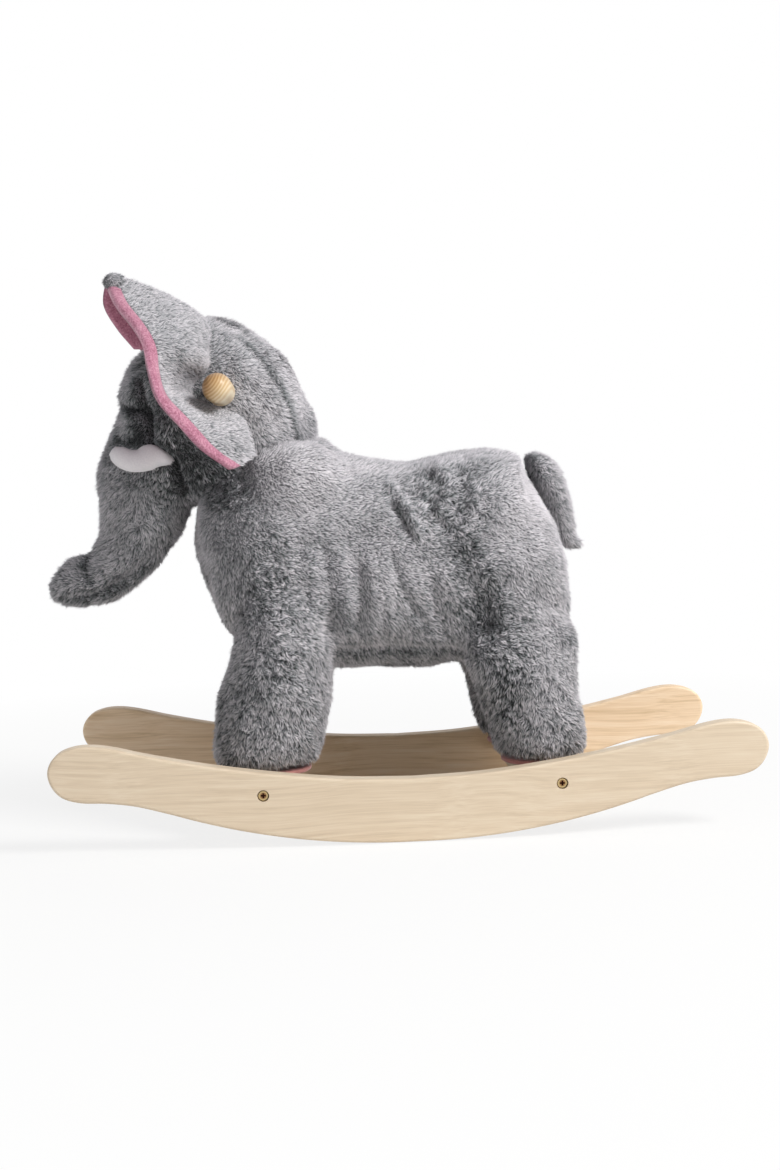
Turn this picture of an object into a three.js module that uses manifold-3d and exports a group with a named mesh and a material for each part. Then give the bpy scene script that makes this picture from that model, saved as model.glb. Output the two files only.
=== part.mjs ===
// A toddler's rocking elephant: a plush elephant on two wooden rockers.
// Millimetres. +Z is up, the elephant faces -X, and its left side is at -Y.
// Heights are measured from the floor, and lengths from the middle of the rockers.

import * as THREE from 'three';
import { mergeVertices } from 'three/addons/utils/BufferGeometryUtils.js';
import Module from 'manifold-3d';

const wasm = await Module();
wasm.setup();

// Clearances.
const gap = 0.3;
const overrun = 2;
const roundSides = 20;
const smallSides = 12;
const roundSquareness = 2;

// Wooden rockers and the boards between them. Insets count from the chest, rump or side named.
const rockerLength = 650;
const rockerThickness = 18;
const outerWidth = 256;
const rockingRadius = 650;
const restFlat = 20;
const rockerTipTop = 98;
const edgeRound = 1.5;
const crossBoard = { width: 62, thickness: 18, height: 47.6, frontInset: 58.2, rearInset: 31.2 };
const rockerInner = outerWidth / 2 - rockerThickness;

// Screws and dowels.
const rockerScrew = { head: 9.4, headDepth: 3, shank: 5, length: 52, recess: 1.4, recessDepth: 1.8 };
const frameScrew = { head: 8.4, headDepth: 3, shank: 4.4, length: 46, recess: 1.2, recessDepth: 1.6 };
const counterbore = { clearance: 0.6, sink: 1.6 };
const alignmentDowel = { diameter: 8, length: 32, spacing: 40 };

// Plush body.
const body = { chest: 193, length: 359, belly: 143, rise: 225, width: 184, squareness: 2.5 };
// Each row: place along the length, underside and top as shares of the rise, share of the width.
const bodyShares = [
  [0, 0.529, 0.653, 0.196], [0.014, 0.422, 0.796, 0.522], [0.042, 0.276, 0.898, 0.728],
  [0.092, 0.156, 0.947, 0.87], [0.175, 0.058, 0.973, 0.957], [0.331, 0.013, 0.991, 0.957],
  [0.404, 0.004, 0.933, 0.946], [0.552, 0, 0.893, 0.935], [0.66, 0.004, 0.92, 0.957],
  [0.76, 0.018, 0.929, 0.989], [0.85, 0.031, 0.884, 1], [0.911, 0.049, 0.796, 0.967],
  [0.955, 0.084, 0.698, 0.87], [0.986, 0.182, 0.529, 0.652], [1, 0.276, 0.422, 0.239],
];

// Plush head.
const head = { overlap: 117, sink: 64, length: 187, rise: 183, width: 158, squareness: 2.2 };
// Each row: place from back to face, underside and top as shares of the rise, share of the width.
const headShares = [
  [0.011, 0.262, 0.459, 0.203], [0.037, 0.208, 0.519, 0.456], [0.102, 0.164, 0.667, 0.696],
  [0.214, 0.098, 0.82, 0.861], [0.364, 0.044, 0.945, 0.962], [0.513, 0.011, 1, 1],
  [0.663, 0.022, 0.962, 0.962], [0.797, 0.087, 0.852, 0.835], [0.893, 0.208, 0.749, 0.633],
  [0.963, 0.361, 0.623, 0.38], [0.989, 0.448, 0.525, 0.152],
];

// Plush trunk.
const trunk = { inset: 63, hang: 93, reach: 134, rise: 183, depth: 98, width: 96 };
// Each row: place along the reach and up the rise, share of the depth, share of the width.
const trunkShares = [
  [0.09, 0.989, 0.816, 0.833], [0.179, 0.858, 1, 1], [0.269, 0.661, 0.98, 0.896],
  [0.306, 0.464, 0.878, 0.771], [0.418, 0.279, 0.694, 0.667], [0.627, 0.158, 0.551, 0.583],
  [0.806, 0.126, 0.48, 0.521], [0.925, 0.126, 0.367, 0.396], [0.978, 0.128, 0.163, 0.167],
];

// Plush legs on their felt soles.
const leg = { length: 106, width: 94, inset: 38, rise: 192, squareness: 2.3 };
const sole = { thickness: 5, tuck: 3 };
const footInset = { front: 63.5, rear: 42 };
// Each row: share of the rise, lean as a share of half the length, share of the length and width.
const frontLegShares = [
  [0, 0, 0.877, 0.936], [0.051, 0, 0.953, 1], [0.14, 0.038, 0.991, 1], [0.333, 0.151, 1.009, 1],
  [0.479, 0.283, 0.934, 0.98], [0.625, 0.311, 0.877, 0.93], [0.797, 0.274, 0.78, 0.83],
  [1, 0.25, 0.6, 0.6],
];
const rearLegShares = [
  [0, 0, 0.792, 0.936], [0.072, -0.009, 0.877, 1], [0.166, -0.047, 0.934, 1],
  [0.286, -0.132, 0.981, 1], [0.458, -0.26, 1.057, 0.98], [0.583, -0.33, 1.1, 0.94],
  [0.797, -0.4, 0.98, 0.84], [1, -0.4, 0.75, 0.6],
];

// Ears: a straight sewn root on the side of the head, and a cupped leaf that faces forward.
const ear = { ahead: 9, rootTop: 70, rootBottom: 18, topInset: 26, bottomInset: 2 };
const earLeaf = { reach: 112, rise: 176, spread: 104, back: 5, lining: 4, bead: 5 };
// Each row: root, belly and rim points as shares of reach (forward), spread (out) and rise (up),
// counted from the lower end of the root.
const earShares = [
  [[0.34, 0.11, 0.11], [0.46, 0.09, 0.12], [0.6, 0.08, 0.13]],
  [[0.25, 0.03, 0.18], [0.51, 0.05, 0.2], [0.72, 0.12, 0.23]],
  [[0.16, -0.07, 0.24], [0.48, 0.01, 0.31], [0.8, 0.19, 0.35]],
  [[0.06, -0.18, 0.29], [0.36, 0.05, 0.41], [0.75, 0.27, 0.48]],
  [[0.02, -0.2, 0.26], [0.18, 0.2, 0.4], [0.77, 0.36, 0.43]],
  [[0.01, -0.12, 0.18], [0.08, 0.39, 0.3], [0.69, 0.52, 0.32]],
  [[0.01, -0.06, 0.1], [0.02, 0.53, 0.17], [0.57, 0.67, 0.22]],
  [[0.01, 0, 0.02], [-0.03, 0.62, 0.07], [0.49, 0.8, 0.12]],
  [[0.12, 0.07, -0.07], [0.22, 0.51, -0.06], [0.42, 0.93, -0.05]],
  [[0.14, 0.11, -0.16], [0.21, 0.56, -0.16], [0.35, 1, -0.17]],
  [[-0.07, 0.22, -0.26], [-0.12, 0.62, -0.28], [0.2, 0.97, -0.3]],
  [[-0.25, 0.35, -0.35], [-0.27, 0.62, -0.4], [0.04, 0.88, -0.41]],
  [[-0.35, 0.49, -0.44], [-0.32, 0.59, -0.47], [-0.2, 0.7, -0.5]],
];
const earBackShares = [0, 0.15, 0.28, 0.45, 0.62, 0.76, 0.88];
const earLiningShares = [0.15, 0.28, 0.45, 0.62, 0.76, 0.88, 0.89, 0.905, 0.96, 1];
const earRimShare = 0.9;
const earRows = 20;

// Tusks: stuffed crescents of felt.
const tusk = { inset: 60, sideInset: 19, rise: 46, length: 54, depth: 26, width: 17 };
const tuskShares = [
  [0, 0, 0, 0.85, 0.8], [0.3, 0.02, 0.02, 0.96, 1], [0.66, 0.05, 0, 0.76, 0.95],
  [0.9, 0.08, 0.09, 0.66, 0.8], [1, 0.09, 0.13, 0.3, 0.35],
];

// Tail: a flat stuffed flap, hinged on its seam at the top of the rump.
const tail = { inset: 32, sink: 33, reach: 41, drop: 84, depth: 26, width: 44 };
const tailShares = [
  [0, 0, 1, 0.9], [0.32, 0.13, 0.95, 1], [0.7, 0.36, 0.85, 0.97], [0.9, 0.64, 0.75, 0.86],
  [0.95, 0.88, 0.6, 0.64], [0.93, 1, 0.3, 0.35],
];

// Wooden frame inside the plush.
const post = { width: 28, inset: 42, rise: 97 };
const seatBoard = { rearInset: 16, frontInset: 16, sideInset: 26, thickness: 18, cornerRadius: 30 };
const neckPost = { width: 40, overHandle: 26 };
const handle = { diameter: 26, length: 330, inset: 32, overChin: 106 };
const handlePin = { diameter: 6, length: 30 };

// Places that follow from the sizes above.
const rumpX = body.length - body.chest;
const bodyTop = body.belly + body.rise;
const chin = bodyTop - head.sink;
const headBackX = head.overlap - body.chest;
const headFrontX = headBackX - head.length;
const handleX = handle.inset - body.chest;
const handleHeight = chin + handle.overChin;
const earX = handleX - ear.ahead;
const frontBoardX = crossBoard.frontInset - body.chest;
const rearBoardX = rumpX - crossBoard.rearInset;
const crossBoardTop = crossBoard.height + crossBoard.thickness / 2;
const crossBoardBottom = crossBoard.height - crossBoard.thickness / 2;
const soleBottom = crossBoardTop + gap;
const legBottom = soleBottom + sole.thickness + gap;
const legY = body.width / 2 - leg.inset;
const postY = body.width / 2 - post.inset;
const postTop = body.belly + post.rise;
const seatBoardTop = postTop + seatBoard.thickness;
const seatBoardFront = seatBoard.frontInset - body.chest;
const seatBoardRear = rumpX - seatBoard.rearInset;
const neckPostTop = handleHeight + neckPost.overHandle;

// Colours and finishes.
const finishes = {
  poplar: { color: 0xdcc6a0, roughness: 0.62, metalness: 0 },
  innerWood: { color: 0xc9ae83, roughness: 0.7, metalness: 0 },
  bronzeSteel: { color: 0x8a6440, roughness: 0.38, metalness: 1 },
  greyPlush: { color: 0x8d8b8f, roughness: 0.95, metalness: 0 },
  pinkFleece: { color: 0xd9829b, roughness: 0.92, metalness: 0 },
  pinkFelt: { color: 0xd79aa0, roughness: 0.92, metalness: 0 },
  whiteFelt: { color: 0xd9dbe2, roughness: 0.92, metalness: 0 },
};
const materials = Object.fromEntries(Object.entries(finishes).map(
  ([name, finish]) => [name, new THREE.MeshStandardMaterial({ name, ...finish })]));

const toy = new THREE.Group();

function addPiece(name, geometry, materialName, place = new THREE.Vector3()) {
  const piece = new THREE.Mesh(geometry, materials[materialName]);
  piece.name = name;
  piece.position.copy(place);
  toy.add(piece);
  return piece;
}

// Closed solids and the cuts between them.
function asSolid(geometry) {
  const bare = geometry.clone();
  bare.deleteAttribute('normal');
  bare.deleteAttribute('uv');
  const merged = mergeVertices(bare);
  return new wasm.Manifold(new wasm.Mesh({
    numProp: 3,
    vertProperties: new Float32Array(merged.attributes.position.array),
    triVerts: new Uint32Array(merged.index.array),
  }));
}

function asGeometry(solid) {
  const mesh = solid.getMesh();
  const geometry = new THREE.BufferGeometry();
  geometry.setAttribute('position', new THREE.BufferAttribute(mesh.vertProperties, 3));
  geometry.setIndex(new THREE.BufferAttribute(mesh.triVerts, 1));
  geometry.computeVertexNormals();
  return geometry;
}

function cut(geometry, ...tools) {
  return asGeometry(tools.reduce((solid, tool) => solid.subtract(asSolid(tool)), asSolid(geometry)));
}

function joined(geometry, ...others) {
  return asGeometry(others.reduce((solid, other) => solid.add(asSolid(other)), asSolid(geometry)));
}

// A closed mesh from points and triangles, turned so that its faces point out.
function closedMesh(points, triangles) {
  let volume = 0;
  for (const [a, b, c] of triangles) {
    volume += points[a].dot(new THREE.Vector3().crossVectors(points[b], points[c]));
  }
  const outward = volume < 0 ? triangles.map(([a, b, c]) => [a, c, b]) : triangles;
  const geometry = new THREE.BufferGeometry().setFromPoints(points);
  geometry.setIndex(outward.flat());
  geometry.computeVertexNormals();
  return geometry;
}

function box(sizeX, sizeY, sizeZ, x, y, z) {
  return new THREE.BoxGeometry(sizeX, sizeY, sizeZ).translate(x, y, z);
}

function rodAlongY(diameter, length, x, y, z, sides = smallSides) {
  return new THREE.CylinderGeometry(diameter / 2, diameter / 2, length, sides).translate(x, y, z);
}

function rodAlongZ(diameter, length, x, y, z) {
  return new THREE.CylinderGeometry(diameter / 2, diameter / 2, length, smallSides)
    .rotateX(Math.PI / 2).translate(x, y, z);
}

// Rounded plank lying flat, with softened edges.
function plank(sizeX, sizeY, thickness, cornerRadius) {
  const halfX = sizeX / 2 - edgeRound;
  const halfY = sizeY / 2 - edgeRound;
  const radius = cornerRadius - edgeRound;
  const outline = new THREE.Shape();
  outline.absarc(halfX - radius, halfY - radius, radius, 0, Math.PI / 2);
  outline.absarc(radius - halfX, halfY - radius, radius, Math.PI / 2, Math.PI);
  outline.absarc(radius - halfX, radius - halfY, radius, Math.PI, 1.5 * Math.PI);
  outline.absarc(halfX - radius, radius - halfY, radius, 1.5 * Math.PI, 2 * Math.PI);
  return new THREE.ExtrudeGeometry(outline, {
    depth: thickness - 2 * edgeRound, bevelThickness: edgeRound, bevelSize: edgeRound,
    bevelSegments: 1, curveSegments: 4,
  }).translate(0, 0, edgeRound - thickness / 2);
}

// Wood screw: its head's top is at the origin and its point is at -Y.
function woodScrew(screw) {
  const profile = [
    [0, -screw.length],
    [screw.shank / 2, screw.shank - screw.length],
    [screw.shank / 2, -screw.headDepth],
    [screw.head / 2, -screw.headDepth / 3],
    [screw.head / 2, -screw.headDepth / 6],
    [screw.head / 2 - screw.headDepth / 6, 0],
    [0, 0],
  ].map(([radius, height]) => new THREE.Vector2(radius, height));
  const slot = (sizeX, sizeZ) => box(sizeX, 2 * screw.recessDepth, sizeZ, 0, 0, 0);
  const reach = screw.head / 2;
  return cut(new THREE.LatheGeometry(profile, smallSides),
    slot(reach, screw.recess), slot(screw.recess, reach));
}

// Side outline of a rocker: a long arc underneath, and tips that sweep up and round over.
function rockerOutline() {
  const half = rockerLength / 2;
  const arcShares = [0, 0.09, 0.18, 0.27, 0.36, 0.45, 0.54, 0.63];
  const under = arcShares.map((share) => {
    const run = half * share;
    const rise = rockingRadius - Math.sqrt(rockingRadius ** 2 - run ** 2);
    return new THREE.Vector2(restFlat / 2 + run, rise);
  });
  const sweepShares = [
    [0.76, 0.43], [0.84, 0.47], [0.91, 0.485], [0.96, 0.535], [0.989, 0.635], [1, 0.765],
    [0.987, 0.885], [0.955, 0.965], [0.9, 1], [0.83, 0.975], [0.72, 0.885], [0.56, 0.775],
    [0.38, 0.68], [0.19, 0.61], [0, 0.587],
  ];
  const sweep = sweepShares.map(([run, rise]) => new THREE.Vector2(half * run, rockerTipTop * rise));
  const rightSide = [...under, ...new THREE.SplineCurve(sweep).getPoints(2 * (sweep.length - 1))];
  const leftSide = rightSide.slice(0, -1).map((point) => new THREE.Vector2(-point.x, point.y));
  return new THREE.Shape([...rightSide, ...leftSide.reverse()]);
}

// Swelling, tapering stuffed form. Each station has a centre and its half depth and half width.
// The depth lies along deepAxis, or square to the spine where none is given.
function stuffedForm(stations, form) {
  const { rings, sides, squareness = roundSquareness, deepAxis, grow = 0, flatStart = false } = form;
  const spine = new THREE.CatmullRomCurve3(stations.map((s) => s.at), false, 'catmullrom');
  const girth = new THREE.CatmullRomCurve3(
    stations.map((s) => new THREE.Vector3(s.deep, s.wide, 0)), false, 'catmullrom');
  const power = 2 / squareness;
  const points = [];
  const across = new THREE.Vector3(0, 1, 0);
  for (let ring = 0; ring <= rings; ring += 1) {
    const share = ring / rings;
    const centre = spine.getPoint(share);
    const size = girth.getPoint(share);
    const along = spine.getTangent(share);
    const wideAxis = across.clone().addScaledVector(along, deepAxis ? 0 : -across.dot(along)).normalize();
    const deep = deepAxis ?? new THREE.Vector3().crossVectors(wideAxis, along).normalize();
    for (let side = 0; side < sides; side += 1) {
      const angle = 2 * Math.PI * side / sides;
      const deepShare = Math.sign(Math.cos(angle)) * Math.abs(Math.cos(angle)) ** power;
      const wideShare = Math.sign(Math.sin(angle)) * Math.abs(Math.sin(angle)) ** power;
      points.push(centre.clone()
        .addScaledVector(deep, deepShare * (size.x + grow))
        .addScaledVector(wideAxis, wideShare * (size.y + grow)));
    }
  }
  const triangles = [];
  for (let ring = 0; ring < rings; ring += 1) {
    for (let side = 0; side < sides; side += 1) {
      const next = (side + 1) % sides;
      const [a, b] = [ring * sides + side, ring * sides + next];
      triangles.push([a, b, b + sides], [a, b + sides, a + sides]);
    }
  }
  const domeShare = 0.25;
  for (const [ring, direction] of [[0, -1], [rings, 1]]) {
    const end = stations.at(ring === 0 ? 0 : -1);
    const dome = ring === 0 && flatStart ? 0 : end.deep * domeShare + grow;
    const pole = points.length;
    points.push(spine.getPoint(ring / rings)
      .addScaledVector(spine.getTangent(ring / rings), direction * dome));
    for (let side = 0; side < sides; side += 1) {
      const [a, b] = [ring * sides + side, ring * sides + (side + 1) % sides];
      triangles.push(ring === 0 ? [b, a, pole] : [a, b, pole]);
    }
  }
  return closedMesh(points, triangles);
}

function bodyForm(grow = 0) {
  const stations = bodyShares.map(([along, low, high, wide]) => ({
    at: new THREE.Vector3(body.length * along - body.chest, 0, body.belly + body.rise * (low + high) / 2),
    deep: body.rise * (high - low) / 2,
    wide: body.width * wide / 2,
  }));
  return stuffedForm(stations,
    { rings: 28, sides: 28, squareness: body.squareness, deepAxis: new THREE.Vector3(0, 0, 1), grow });
}

function headForm(grow = 0) {
  const stations = headShares.map(([along, low, high, wide]) => ({
    at: new THREE.Vector3(headBackX - head.length * along, 0, chin + head.rise * (low + high) / 2),
    deep: head.rise * (high - low) / 2,
    wide: head.width * wide / 2,
  }));
  return stuffedForm(stations,
    { rings: 20, sides: 24, squareness: head.squareness, deepAxis: new THREE.Vector3(0, 0, 1), grow });
}

function trunkForm() {
  const stations = trunkShares.map(([along, up, deep, wide]) => ({
    at: new THREE.Vector3(
      headFrontX + trunk.inset - trunk.reach * along, 0, chin - trunk.hang + trunk.rise * up),
    deep: trunk.depth * deep / 2,
    wide: trunk.width * wide / 2,
  }));
  return stuffedForm(stations, { rings: 18, sides: 18 });
}

function legForm(shares, footX, side) {
  const stations = shares.map(([up, lean, long, wide]) => ({
    at: new THREE.Vector3(footX + leg.length / 2 * lean, side * legY, legBottom + leg.rise * up),
    deep: leg.length / 2 * long,
    wide: leg.width / 2 * wide,
  }));
  return stuffedForm(stations, {
    rings: 13, sides: 20, squareness: leg.squareness, deepAxis: new THREE.Vector3(1, 0, 0), flatStart: true,
  });
}

// The wooden frame's blanks, larger by grow where they cut their way through the plush.
function postBlock(x, y, grow = 0) {
  const height = postTop - crossBoardTop;
  return box(post.width + grow, post.width + grow, height + grow, x, y, crossBoardTop + height / 2);
}

function neckBlock(grow = 0) {
  const height = neckPostTop - seatBoardTop;
  return box(neckPost.width + grow, neckPost.width + grow, height + grow,
    handleX, 0, seatBoardTop + height / 2);
}

function seatBlock(grow = 0) {
  return plank(seatBoardRear - seatBoardFront + grow, body.width - 2 * seatBoard.sideInset + grow,
    seatBoard.thickness + grow, seatBoard.cornerRadius)
    .translate((seatBoardRear + seatBoardFront) / 2, 0, postTop + seatBoard.thickness / 2);
}

function handleHole() {
  return rodAlongY(handle.diameter + 2 * gap, handle.length, handleX, 0, handleHeight, roundSides);
}

function handlePinHole() {
  return rodAlongZ(handlePin.diameter + 2 * gap, 2 * handlePin.length, handleX, 0, neckPostTop);
}

// Screw places: the middle of each end of each cross board, and under and over each post.
const corners = [
  ['front_left', frontBoardX, -1], ['front_right', frontBoardX, 1],
  ['rear_left', rearBoardX, -1], ['rear_right', rearBoardX, 1],
];
const holeFor = (screw) => screw.shank + 2 * gap;

function addRockers() {
  // The bevel is taken off the outline, so the board keeps its full size.
  const blank = new THREE.ExtrudeGeometry(rockerOutline(), {
    depth: rockerThickness - 2 * edgeRound, bevelThickness: edgeRound, bevelSize: edgeRound,
    bevelSegments: 1, bevelOffset: -edgeRound,
  }).rotateX(Math.PI / 2);
  for (const [name, side] of [['rocker_left', -1], ['rocker_right', 1]]) {
    const outer = side * outerWidth / 2;
    const flush = side < 0 ? -rockerInner - edgeRound : outerWidth / 2 - edgeRound;
    const boreDepth = 2 * (rockerScrew.headDepth + counterbore.sink);
    const boreWide = rockerScrew.head + 2 * counterbore.clearance;
    const holes = [frontBoardX, rearBoardX].flatMap((x) => [
      rodAlongY(boreWide, boreDepth, x, outer, crossBoard.height),
      rodAlongY(holeFor(rockerScrew), 2 * rockerThickness + overrun, x, outer, crossBoard.height),
      ...dowelPlaces(x).map((dowelX) => rodAlongY(alignmentDowel.diameter + 2 * gap,
        alignmentDowel.length + 2 * gap, dowelX, side * rockerInner, crossBoard.height)),
    ]);
    addPiece(name, cut(blank.clone().translate(0, flush, 0), ...holes), 'poplar');
  }
}

function dowelPlaces(x) {
  return [x - alignmentDowel.spacing / 2, x + alignmentDowel.spacing / 2];
}

function addCrossBoards() {
  for (const [name, x] of [['front_cross_board', frontBoardX], ['rear_cross_board', rearBoardX]]) {
    const blank = box(crossBoard.width, 2 * rockerInner, crossBoard.thickness, x, 0, crossBoard.height);
    const screwReach = 2 * (rockerScrew.length + gap - rockerThickness + counterbore.sink);
    const holes = [-1, 1].flatMap((side) => [
      rodAlongY(holeFor(rockerScrew), screwReach, x, side * rockerInner, crossBoard.height),
      ...dowelPlaces(x).map((dowelX) => rodAlongY(alignmentDowel.diameter + 2 * gap,
        alignmentDowel.length + 2 * gap, dowelX, side * rockerInner, crossBoard.height)),
      rodAlongZ(holeFor(frameScrew), 2 * crossBoard.thickness + overrun, x, side * postY, crossBoardBottom),
      rodAlongZ(frameScrew.head + 2 * counterbore.clearance,
        2 * (frameScrew.headDepth + counterbore.sink), x, side * postY, crossBoardBottom),
    ]);
    addPiece(name, cut(blank, ...holes), 'poplar');
  }
}

function addRockerFixings() {
  const screw = woodScrew(rockerScrew);
  const dowelBlank = new THREE.CylinderGeometry(
    alignmentDowel.diameter / 2, alignmentDowel.diameter / 2, alignmentDowel.length, smallSides);
  for (const [corner, x, side] of corners) {
    const headAt = side * (outerWidth / 2 - counterbore.sink);
    addPiece(`rocker_screw_${corner}`, screw.clone().rotateX(side < 0 ? Math.PI : 0), 'bronzeSteel',
      new THREE.Vector3(x, headAt, crossBoard.height));
    for (const [place, dowelX] of [['a', dowelPlaces(x)[0]], ['b', dowelPlaces(x)[1]]]) {
      addPiece(`rocker_dowel_${corner}_${place}`, dowelBlank, 'innerWood',
        new THREE.Vector3(dowelX, side * rockerInner, crossBoard.height));
    }
  }
}

function addInnerFrame() {
  const pointReach = 2 * (frameScrew.length + gap);
  for (const [corner, x, side] of corners) {
    const lowHead = crossBoardBottom + counterbore.sink;
    const highHead = seatBoardTop - counterbore.sink;
    const y = side * postY;
    addPiece(`leg_post_${corner}`, cut(postBlock(x, y),
      rodAlongZ(holeFor(frameScrew), pointReach, x, y, lowHead),
      rodAlongZ(holeFor(frameScrew), pointReach, x, y, highHead)), 'innerWood');
    addPiece(`post_foot_screw_${corner}`, woodScrew(frameScrew).rotateX(-Math.PI / 2), 'bronzeSteel',
      new THREE.Vector3(x, y, lowHead));
    addPiece(`post_top_screw_${corner}`, woodScrew(frameScrew).rotateX(Math.PI / 2), 'bronzeSteel',
      new THREE.Vector3(x, y, highHead));
  }
  const neckHead = postTop + counterbore.sink;
  const bore = frameScrew.head + 2 * counterbore.clearance;
  const boreDepth = 2 * (frameScrew.headDepth + counterbore.sink);
  const holes = corners.flatMap(([, x, side]) => [
    rodAlongZ(bore, boreDepth, x, side * postY, seatBoardTop),
    rodAlongZ(holeFor(frameScrew), pointReach, x, side * postY, seatBoardTop),
  ]);
  addPiece('seat_board', cut(seatBlock(), ...holes,
    rodAlongZ(bore, boreDepth, handleX, 0, postTop),
    rodAlongZ(holeFor(frameScrew), pointReach, handleX, 0, postTop)), 'innerWood');
  addPiece('neck_post', cut(neckBlock(), handleHole(),
    rodAlongZ(holeFor(frameScrew), pointReach, handleX, 0, neckHead), handlePinHole()), 'innerWood');
  addPiece('neck_screw', woodScrew(frameScrew).rotateX(-Math.PI / 2), 'bronzeSteel',
    new THREE.Vector3(handleX, 0, neckHead));
}

// Hand grip: one dowel through the head with egg-shaped ends, pinned in the neck post.
function addHandle() {
  const radius = handle.diameter / 2;
  const half = handle.length / 2;
  const domeShares = [[0, 0], [0.3, 0.06], [0.6, 0.22], [0.82, 0.46], [0.95, 0.76], [1, 1.1]];
  const end = domeShares.map(([out, down]) => new THREE.Vector2(radius * out, half - radius * down));
  const profile = [...end.map((p) => new THREE.Vector2(p.x, -p.y)), ...end.reverse()];
  const bar = new THREE.LatheGeometry(profile, roundSides).translate(handleX, 0, handleHeight);
  addPiece('handle_bar', cut(bar, handlePinHole()), 'poplar');
  const pin = new THREE.CylinderGeometry(
    handlePin.diameter / 2, handlePin.diameter / 2, handlePin.length - 2 * gap, smallSides)
    .rotateX(Math.PI / 2);
  addPiece('handle_pin', pin, 'innerWood',
    new THREE.Vector3(handleX, 0, neckPostTop - handlePin.length / 2));
}

// The straight line that an ear's seam follows, from its upper to its lower end.
function earRoot(side) {
  return [
    new THREE.Vector3(earX, side * (head.width / 2 - ear.topInset), handleHeight + ear.rootTop),
    new THREE.Vector3(earX, side * (head.width / 2 - ear.bottomInset), handleHeight + ear.rootBottom),
  ];
}

function rodBetween(from, to, radius, extra) {
  const along = new THREE.Vector3().subVectors(to, from);
  const rod = new THREE.CylinderGeometry(radius, radius, along.length() + 2 * extra, smallSides);
  const turn = new THREE.Quaternion().setFromUnitVectors(
    new THREE.Vector3(0, 1, 0), along.clone().normalize());
  const middle = from.clone().add(to).divideScalar(2);
  return rod.applyQuaternion(turn).translate(middle.x, middle.y, middle.z);
}

// Points and outward normals of the ear's cupped middle surface, row by row.
function earGrid(side, columnShares) {
  const low = earRoot(side)[1];
  const asPoint = ([forward, out, up]) => new THREE.Vector3(
    low.x - earLeaf.reach * forward, low.y + side * earLeaf.spread * out, low.z + earLeaf.rise * up);
  const curves = [0, 1, 2].map((which) => new THREE.CatmullRomCurve3(
    earShares.map((row) => asPoint(row[which])), false, 'catmullrom'));
  const at = (rowShare, share) => {
    const [root, belly, rim] = curves.map((curve) => curve.getPoint(rowShare));
    return new THREE.QuadraticBezierCurve3(root, belly, rim).getPoint(share);
  };
  const grid = [];
  for (let row = 0; row <= earRows; row += 1) {
    grid.push(columnShares.map((share) => at(row / earRows, share)));
  }
  return grid;
}

function sheetNormal(grid, row, column, side) {
  const rowBefore = grid[Math.max(row - 1, 0)][column];
  const rowAfter = grid[Math.min(row + 1, grid.length - 1)][column];
  const columnBefore = grid[row][Math.max(column - 1, 0)];
  const columnAfter = grid[row][Math.min(column + 1, grid[row].length - 1)];
  const down = new THREE.Vector3().subVectors(rowAfter, rowBefore);
  const out = new THREE.Vector3().subVectors(columnAfter, columnBefore);
  return new THREE.Vector3().crossVectors(down, out).multiplyScalar(side).normalize();
}

// A sheet with thickness: near and far give each column's offsets along the normal.
function thickSheet(grid, side, near, far) {
  const rows = grid.length;
  const columns = grid[0].length;
  const points = [];
  for (const offset of [near, far]) {
    for (let row = 0; row < rows; row += 1) {
      for (let column = 0; column < columns; column += 1) {
        const normal = sheetNormal(grid, row, column, side);
        points.push(grid[row][column].clone().addScaledVector(normal, offset(column)));
      }
    }
  }
  const layer = rows * columns;
  const triangles = [];
  const quad = (a, b, c, d) => triangles.push([a, b, c], [a, c, d]);
  for (let row = 0; row < rows - 1; row += 1) {
    for (let column = 0; column < columns - 1; column += 1) {
      const a = row * columns + column;
      quad(a, a + 1, a + 1 + columns, a + columns);
      quad(a + layer, a + columns + layer, a + 1 + columns + layer, a + 1 + layer);
    }
    const [first, last] = [row * columns, row * columns + columns - 1];
    quad(first, first + columns, first + columns + layer, first + layer);
    quad(last, last + layer, last + columns + layer, last + columns);
  }
  for (let column = 0; column < columns - 1; column += 1) {
    const [top, bottom] = [column, (rows - 1) * columns + column];
    quad(top, top + layer, top + 1 + layer, top + 1);
    quad(bottom, bottom + 1, bottom + 1 + layer, bottom + layer);
  }
  return closedMesh(points, triangles);
}

function addEars() {
  for (const [name, side] of [['left', -1], ['right', 1]]) {
    const [top, low] = earRoot(side);
    const backSheet = thickSheet(earGrid(side, earBackShares), side, () => gap, () => gap + earLeaf.back);
    const seamRoll = rodBetween(top, low, earLeaf.bead, 0);
    addPiece(`ear_back_${name}`, joined(backSheet, seamRoll), 'greyPlush');
    const wrap = (column) => (earLiningShares[column] > earRimShare ? gap + earLeaf.back : 0);
    const lining = thickSheet(earGrid(side, earLiningShares), side, () => -earLeaf.lining, wrap);
    addPiece(`ear_lining_${name}`, lining, 'pinkFleece');
  }
}

function addTusks(headGrown, trunkGrown) {
  for (const [name, side] of [['left', -1], ['right', 1]]) {
    const stations = tuskShares.map(([along, out, up, deep, wide]) => ({
      at: new THREE.Vector3(headFrontX + tusk.inset - tusk.length * along,
        side * (head.width / 2 - tusk.sideInset + tusk.length * out), chin + tusk.rise + tusk.length * up),
      deep: tusk.depth / 2 * deep,
      wide: tusk.width / 2 * wide,
    }));
    const form = stuffedForm(stations, { rings: 9, sides: 12 });
    addPiece(`tusk_${name}`, cut(form, headGrown, trunkGrown), 'whiteFelt');
  }
}

function tailForm() {
  const stations = tailShares.map(([along, down, deep, wide]) => ({
    at: new THREE.Vector3(
      rumpX - tail.inset + tail.reach * along, 0, bodyTop - tail.sink - tail.drop * down),
    deep: tail.depth / 2 * deep,
    wide: tail.width / 2 * wide,
  }));
  return stuffedForm(stations, { rings: 11, sides: 14, squareness: leg.squareness });
}

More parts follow.
